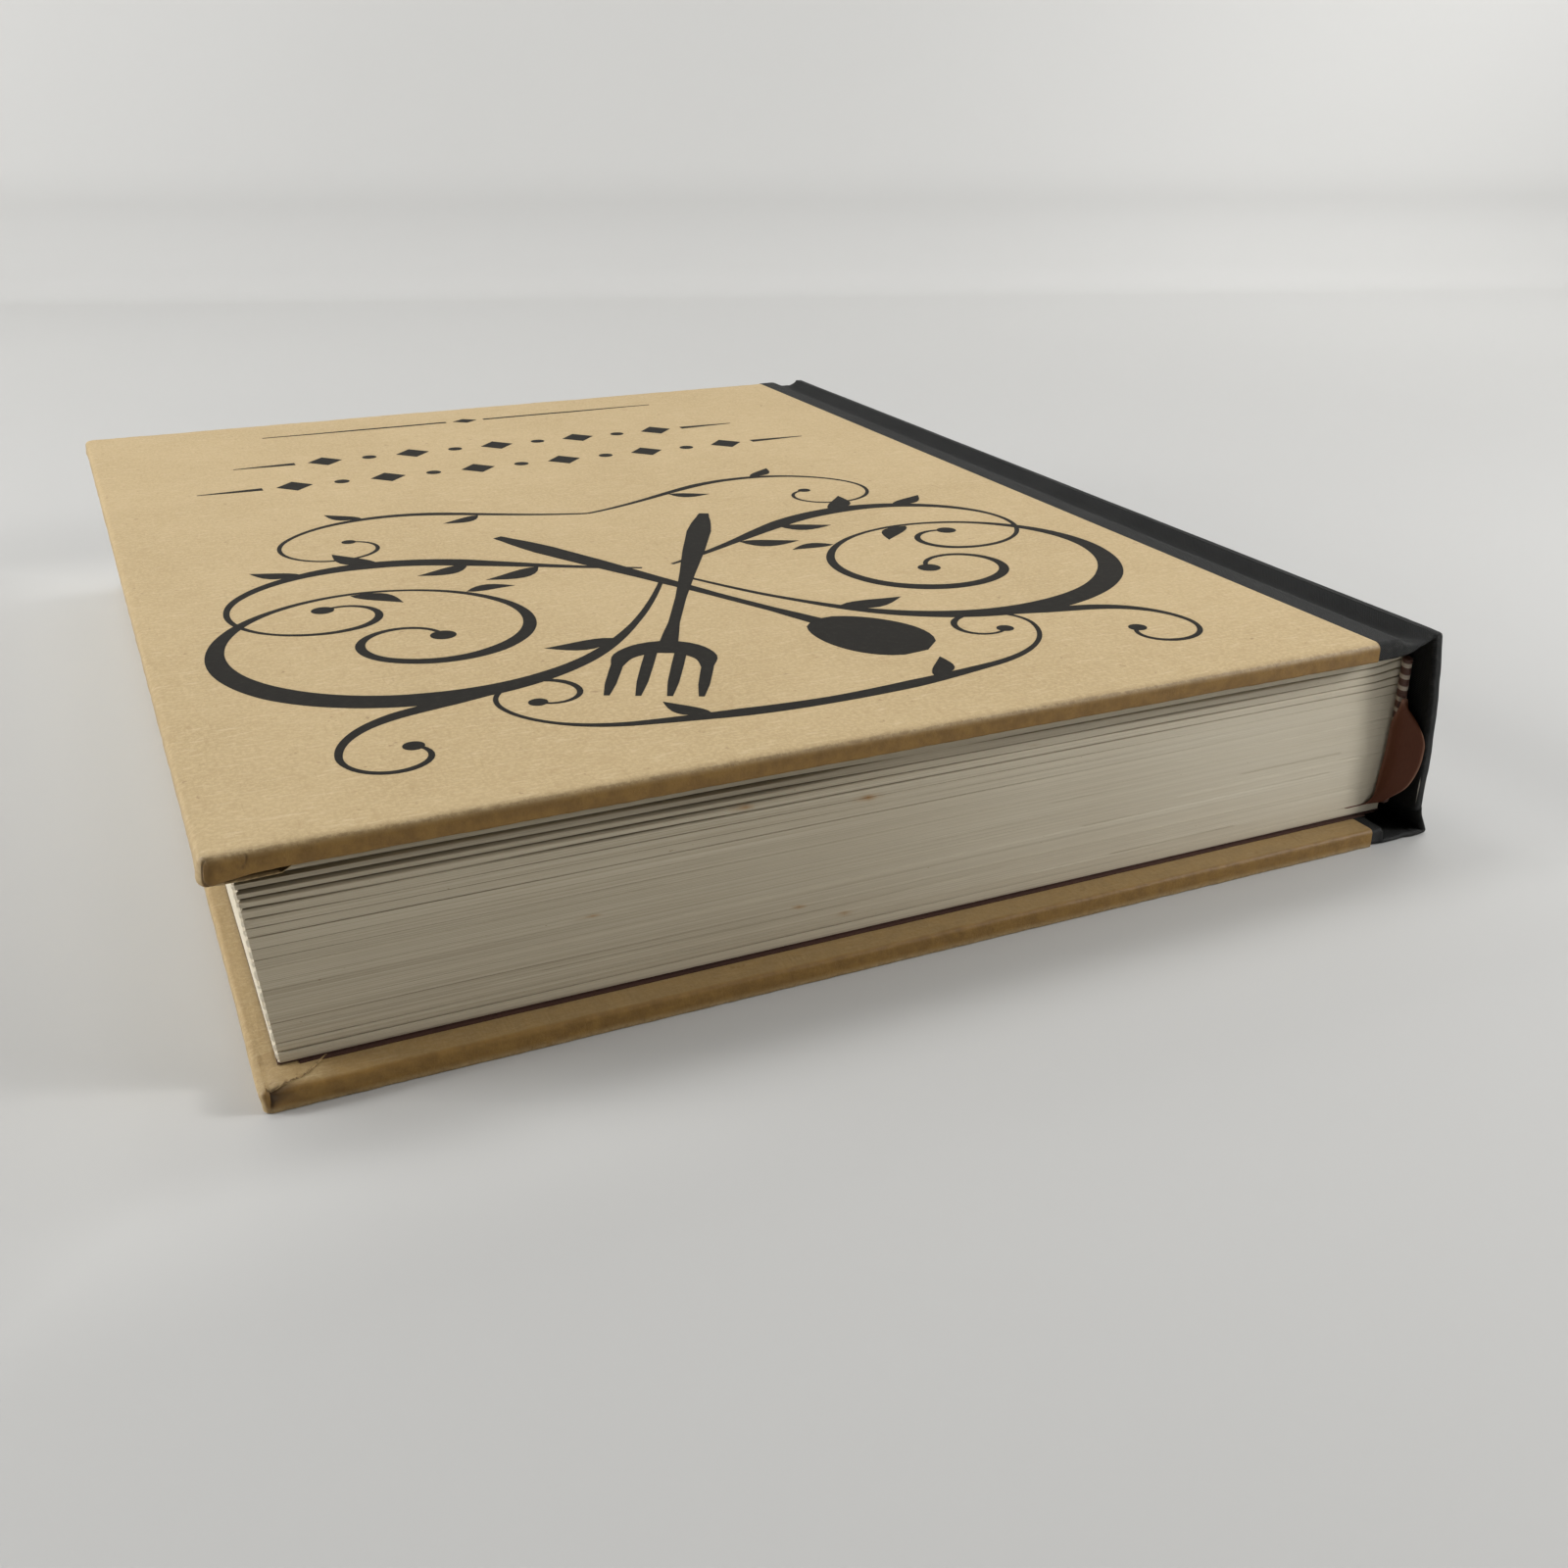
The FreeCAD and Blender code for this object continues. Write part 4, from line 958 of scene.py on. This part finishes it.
def make_ribbon(material):
    """The marker: glued on the band's skirt, bowed out over the bead, then in between the pages."""
    low, high = span("ribbon_marker")
    block_low, block_high = span("text_block")
    back, head, top = block_low[0], block_high[1], high[2]
    slot = SECTION_ENDS[0][0]
    ribbon_width = 7.0
    # Its two edges, on the page side and on the spine side: how far in from the back of the pages, how far
    # past their head, and how high above the marker's top or, further down, above the gap it lies in.
    by_band = [
        (-0.45, -10.0, -1.4, -0.45, -10.0, -7.2), (-0.52, -4.0, -1.4, -0.52, -4.0, -7.2),
        (-0.85, -0.4, -1.3, -0.95, -0.4, -7.0), (-0.85, 1.0, -0.9, -1.25, 1.3, -6.2),
        (-0.30, 1.95, -0.3, -1.30, 2.2, -4.8), (1.15, 2.2, 0.1, -1.35, 3.0, -3.7),
        (1.25, 2.1, -1.0, -1.75, 4.4, -5.0), (1.15, 1.95, -2.4, -2.20, 5.3, -6.8),
        (1.15, 1.9, -6.4, -2.45, 5.6, -8.8), (1.35, 1.8, -11.5, -2.2, 5.4, -12.6),
        (1.75, 1.4, -16.0, -1.4, 4.3, -16.2)]
    by_gap = [
        (2.6, 0.6, 1.4, 0.1, 2.6, 1.9), (4.2, 0.2, 0.20, 0.8, 0.9, 0.30), (5.7, -1.2, 0, 1.1, -1.2, 0),
        (7.9, -6.0, 0, 1.2, -6.0, 0), (8.1, -16.0, 0, 1.2, -16.0, 0),
        (8.1, low[1] - head, 0, 1.2, low[1] - head, 0)]
    rows = [np.array(row) + 2 * (back, head, top) for row in by_band]
    rows += [np.array(row) + 2 * (back, head, slot) for row in by_gap]
    line = smooth_line(rows, 0.84)
    across = np.linspace(0, 1, 13)
    middle = line[:, None, :3] * (1 - across[:, None]) + line[:, None, 3:] * across[:, None]
    # its page side curls back against the leaves
    bowed = ease(line[:, 1], head + 0.5, head + 1.7) * (1 - ease(line[:, 2], top - 5.5, top - 0.5))
    curl = bowed[:, None] * (1 - ease(across, 0.0, 0.26)) ** 1.3
    middle[..., 0] += 0.12 * curl
    middle[..., 1] -= 1.25 * curl
    normal = unit(np.cross(np.gradient(middle, axis=0), np.gradient(middle, axis=1)))
    half = 0.10 * np.sqrt(np.clip(1 - (2 * across - 1) ** 8, 0.0, 1))[:, None]
    sag = 0.12 * ripple(middle * (1, 1, 0.7), 4.5, 101) * ease(middle[..., 1], head + 0.3, head + 1.5)
    middle = middle + normal * sag[..., None]
    front, rear = middle + normal * half, middle - normal * half
    y, z = middle[..., 1], middle[..., 2]
    run = lengths_along(middle[:, len(across) // 2])[:, None]
    place = join(ribbon_width * across, run)
    side_tone = np.exp(-(1 - across) / 0.022) + 0.4 * np.exp(-across / 0.022)
    fold = hump(z, top - 0.2, 0.5) * ease(y, head + 1.0, head + 1.8)
    edge = np.clip(side_tone + 0.8 * fold, 0, 1)
    rim = [np.stack([front[i], rear[i]]) for i in (0, -1)]
    ribbon = mesh_piece("ribbon", [front, rear] + rim, merge=0.0004,
                        fields={"edge": [edge, edge, edge[[0, 0]], edge[[-1, -1]]]})
    set_weave(ribbon, [front, rear], [place, place])
    return stand_in(ribbon, "root", "ribbon", material, "ribbon_marker")


# --- boards, endpaper folds and the corners of the turn-ins ---


def make_board(side, material):
    """Grey board with its fore-edge corners eased, inside the covering."""
    low, high = span(side + "_board")
    near, fore, half = low[0] + 0.1, high[0] - 0.2, high[1] - 0.2
    corner = 3.0
    outline = [(near, half), (near, 0.0), (near, -half)]
    for sign, start in ((-1, -90), (1, 0)):
        for angle in np.radians(np.linspace(start, start + 90, 7)):
            outline.append((fore - corner * (1 - math.cos(angle)),
                            sign * (half - corner) + corner * math.sin(angle)))
    outline = np.array(outline + outline[:1])
    middle = outline.mean(0)
    bottom, top, arris = low[2] + 0.05, high[2] - 0.05, 0.15
    rings = []
    for z, inset in ((bottom, arris), (bottom + arris, 0.0), (top - arris, 0.0), (top, arris)):
        pull = np.sign(outline - middle) * inset
        rings.append(join(*(outline - pull).T, z))
    hubs = [ring * (0, 0, 1) + (*middle, 0) for ring in (rings[0], rings[-1])]
    patches = [np.array(hubs[:1] + rings + hubs[1:])]
    board = mesh_piece(side + "_board_core", patches, smooth_angle=30)
    return stand_in(board, side + "_cover", "grey_board", material, side + "_board")


def make_endpaper_fold(side, material):
    """The folded paper between a pastedown and its flyleaf."""
    (paste, _, under), (_, half, over) = span(side + "_pastedown")
    (leaf, _, leaf_under), (_, _, leaf_over) = span(side + "_flyleaf")
    if side == "front":
        line = [(leaf + 1.2, leaf_over + 0.03), (leaf + 2.2, leaf_over + 0.06), (paste - 3.4, under + 0.05),
                (paste - 1.9, under + 0.12), (paste + 0.1, under + 0.1), (paste + 1.4, under - 0.03)]
    else:
        line = [(leaf + 1.2, leaf_under - 0.03), (leaf + 2.0, leaf_under - 0.05), (paste - 1.25, over + 0.02),
                (paste + 0.2, over + 0.03), (paste + 1.4, over + 0.02)]
    x, z = smooth_line(line, 0.5).T[..., None]
    y = spaced((0.4 - half, half - 0.4, 6.0))
    patches = sheet(join(x, y, z + 0.05), join(x, y, z - 0.05))
    fold = mesh_piece(side + "_endpaper_fold", patches, merge=0.0004)
    stand_in(fold, None, "endpaper", material)
    if side == "front":
        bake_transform(fold)
    else:
        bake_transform(fold)
    return fold


# --- the print on the front cover ---

# where the print's middle line lies, how far its ink stands out, and how much each strip adds to that
PRINT_MIDDLE = 9.5
INK, INK_STEP = 0.020, 0.0004


def plate(shapes, first, second):
    """Adds a thin closed strip between two matching lines on the cover, a hair above the one before it."""
    top = span("front_cover_paper")[1][2]
    lift = INK + INK_STEP * (len(shapes) // 3)
    ring = []
    for edge, high in ((first, True), (second, True), (second, False), (first, False), (first, True)):
        spot = join(edge[:, 0] + PRINT_MIDDLE, edge[:, 1], 0)
        surface = top + 0.022 * ripple(spot, 16, 20) + 0.012 * ripple(spot, 5, 21)
        ring.append(join(*spot.T[:2], surface + (lift if high else -0.05)))
    ring = np.stack(ring, 1)
    shapes += [ring] + [np.stack([ring[i, :2], ring[i, 3:1:-1]]) for i in (0, -1)]


def stroke(shapes, points, widths):
    """A pen stroke as a strip on the cover: widths run evenly along its length."""
    line = smooth_line(points, 1.1)
    width = np.interp(np.linspace(0, 1, len(line)), np.linspace(0, 1, len(widths)), widths)
    along = unit(np.gradient(line, axis=0))
    side = join(-along[:, 1], along[:, 0]) * width[:, None] / 2
    plate(shapes, line + side, line - side)


def flourish(start, heading, bends):
    """Points along a pen line: each bend is its length and how fast it turns at its two ends."""
    points, angle = [np.array(start, float)], math.radians(heading)
    for length, first, last in bends:
        count = max(2, round(length))
        for turn in np.radians(np.linspace(first, last, count)):
            angle += turn * length / count
            points.append(points[-1] + length / count * np.array([math.cos(angle), math.sin(angle)]))
    return np.array(points)


def disc(shapes, centre, radius):
    angles = np.linspace(0, math.pi, 12)
    half = join(-np.cos(angles), np.sin(angles)) * radius
    plate(shapes, half + centre, half * (1, -1) + centre)


def lozenge(shapes, x, y, wide, tall):
    across = np.array([x - wide, x, x + wide])
    lift = np.array([0, tall, 0])
    plate(shapes, join(across, y + lift), join(across, y - lift))


def leaf(shapes, root, heading, size, side):
    t = np.linspace(0, 1, 9)
    middle = join(size * t + 1.2, 0.12 * size * np.sin(math.pi * t))
    wide = join(0, 0.19 * size * np.sin(math.pi * t ** 0.8))
    edges = [(turned(line, heading) + root) * (side, 1) for line in (middle + wide, middle - wide)]
    plate(shapes, *edges)


# The scrolls of the ornament: start, heading, bends, widths, the ball at the end, and its leaves, each at
# a share of the way along, turned so many degrees from it, and so long.
SCROLLS = [
    ((3, 46), 62, [(34.8, -0.17, -0.69), (69.6, -1.38, -1.90), (81.2, -2.07, -2.24), (46.4, -2.76, -3.88),
                   (30.2, -5.6, -9.5)],
     [0.9, 1.4, 3.2, 5.2, 5.0, 3.0, 1.4, 1.0, 1.8, 3.0, 1.8, 0.8], 2.2,
     [(0.12, -48, 12), (0.60, -46, 11), (0.68, 44, 9)]),
    ((33, 84), 20, [(27.8, -0.86, 0.52), (18.6, 2.6, 4.7), (16.2, 6.9, 10.3), (7.0, 12.1, 15.5)],
     [0.8, 2.0, 3.0, 2.6, 1.5, 0.9, 1.2, 0.7], 1.6, []),
    ((3, 36), -24, [(34.8, -0.69, 0.34), (46.4, 1.21, 2.41), (39.4, 3.1, 4.3), (20.9, 6.9, 11.2)],
     [0.8, 2.0, 4.2, 4.2, 2.4, 1.1, 0.9, 1.6, 0.8], 2.0,
     [(0.14, 52, 12), (0.24, 50, 11), (0.36, -48, 12), (0.46, -46, 10)]),
    ((0, -6), -14, [(30.2, -1.21, 0.52), (39.4, 1.55, 2.76), (30.2, 4.3, 6.9), (11.6, 8.6, 12.1)],
     [0.9, 1.4, 2.2, 1.8, 1.0, 0.8, 0.9, 0.7], 1.4, [(0.20, 50, 9), (0.42, -48, 9)]),
    ((0, 112), 0, [(30.2, -0.55, -0.12), (23.2, -1.9, -3.9), (23.2, -6.9, -10.3), (9.3, -12.1, -15.5)],
     [2.6, 3.0, 1.8, 0.9, 0.8, 1.2, 0.6], 1.5, [(0.22, -48, 9)]),
]
# the spoon and the fork cross here, each leaning this far
CROSSING = np.array([0.0, 50.0])
TOOL_LEAN = 26


def make_print(material):
    """A plain traditional ornament: leafy pen scrolls round a crossed spoon and fork, beaded rows below."""
    shapes = []
    for start, heading, bends, widths, ball, leaves in SCROLLS:
        line = flourish(start, heading, bends)
        for side in (1, -1):
            stroke(shapes, line * (side, 1), widths)
            disc(shapes, line[-1] * (side, 1), ball)
            for share, lean, size in leaves:
                at = int(share * (len(line) - 2))
                way = line[at + 1] - line[at]
                leaf(shapes, line[at], math.degrees(math.atan2(way[1], way[0])) + lean, size, side)

    t = np.linspace(-1, 1, 17)
    bowl = join(8.2 * np.sqrt(np.maximum(1 - t ** 2, 0.0)) * (1 + 0.12 * t), 0)
    spine = join(0, 92 + 12 * t)
    plate(shapes, *[turned(edge, TOOL_LEAN, CROSSING) for edge in (spine + bowl, spine - bowl)])
    handle = [(0, 84), (0, 76), (0, 64), (0, 40), (0, 12), (0, 2), (0, -1)]
    for lean in (TOOL_LEAN, -TOOL_LEAN):
        stroke(shapes, turned(handle, lean, CROSSING), [3.5, 2.0, 2.0, 3.0, 4.4, 5.0, 2.0])
    root = [(-7.2, 93), (-6.6, 87.5), (-3.6, 84), (0, 83), (3.6, 84), (6.6, 87.5), (7.2, 93)]
    stroke(shapes, turned(root, -TOOL_LEAN, CROSSING), [1.6, 3.4, 5.0, 6.0, 5.0, 3.4, 1.6])
    for x, foot in ((-7.2, 88), (-2.4, 85), (2.4, 85), (7.2, 88)):
        tine = [(x, foot), (x, 94), (x, 100), (x, 105)]
        stroke(shapes, turned(tine, -TOOL_LEAN, CROSSING), [2.0, 2.0, 1.8, 0.9])

    # two beaded rows, and a rule under them
    pitch = 10.5
    for y, count in ((-56, 11), (-78, 9)):
        for number in range(count):
            x = (number - (count - 1) / 2) * pitch
            if number % 2:
                disc(shapes, (x, y), 1.7)
            else:
                lozenge(shapes, x, y, 4.0, 4.4)
        end = (count - 1) / 2 * pitch + 7
        for side in (1, -1):
            stroke(shapes, join((end, end + 6, end + 14), y) * (side, 1), [2.2, 1.4, 0.4])
    lozenge(shapes, 0, -110, 3.2, 2.4)
    for side in (1, -1):
        stroke(shapes, join((5, 30, 52), -110) * (side, 1), [1.2, 1.2, 0.5])
    ornament = mesh_piece("front_cover_print", shapes, merge=0.0002, smooth_angle=30)
    return stand_in(ornament, "front_cover", "kraft_paper", material)


# --- the whole book ---

KRAFT = kraft_material("kraft_cover_paper")
CLOTH = cloth_material("black_bookcloth")
PAGES = page_material("page_edges")
ENDPAPER = plain_paper("dark_endpaper", (0.050, 0.021, 0.014), (0.070, 0.030, 0.020))
BOARD = plain_paper("grey_board", (0.24, 0.22, 0.19), (0.30, 0.28, 0.24))
THREAD = band_material("band_thread")
LINING = plain_paper("lining_paper", (0.30, 0.23, 0.15), (0.38, 0.30, 0.20))

for node, material in (
        ("front_flyleaf", ENDPAPER), ("rear_flyleaf", ENDPAPER), ("front_pastedown", ENDPAPER),
        ("rear_pastedown", ENDPAPER), ("spine_board", BOARD), ("spine_lining", LINING)):
    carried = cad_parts[node]
    carried.data.materials.clear()
    carried.data.materials.append(material)

make_page_block(PAGES)
for make, material in ((make_cover_paper, KRAFT), (make_board, BOARD)):
    make("front", material)
    make("rear", material)
make_print(ink_material("printing_ink"))
make_endpaper_fold("front", ENDPAPER)
make_endpaper_fold("rear", ENDPAPER)
make_spine_cloth(CLOTH)
make_front_cloth(CLOTH)
make_rear_cloth(CLOTH)
for make, material in ((make_band, THREAD), (make_band_skirt, LINING)):
    make("head", material)
    make("tail", material)
make_ribbon(ribbon_material("satin_ribbon"))
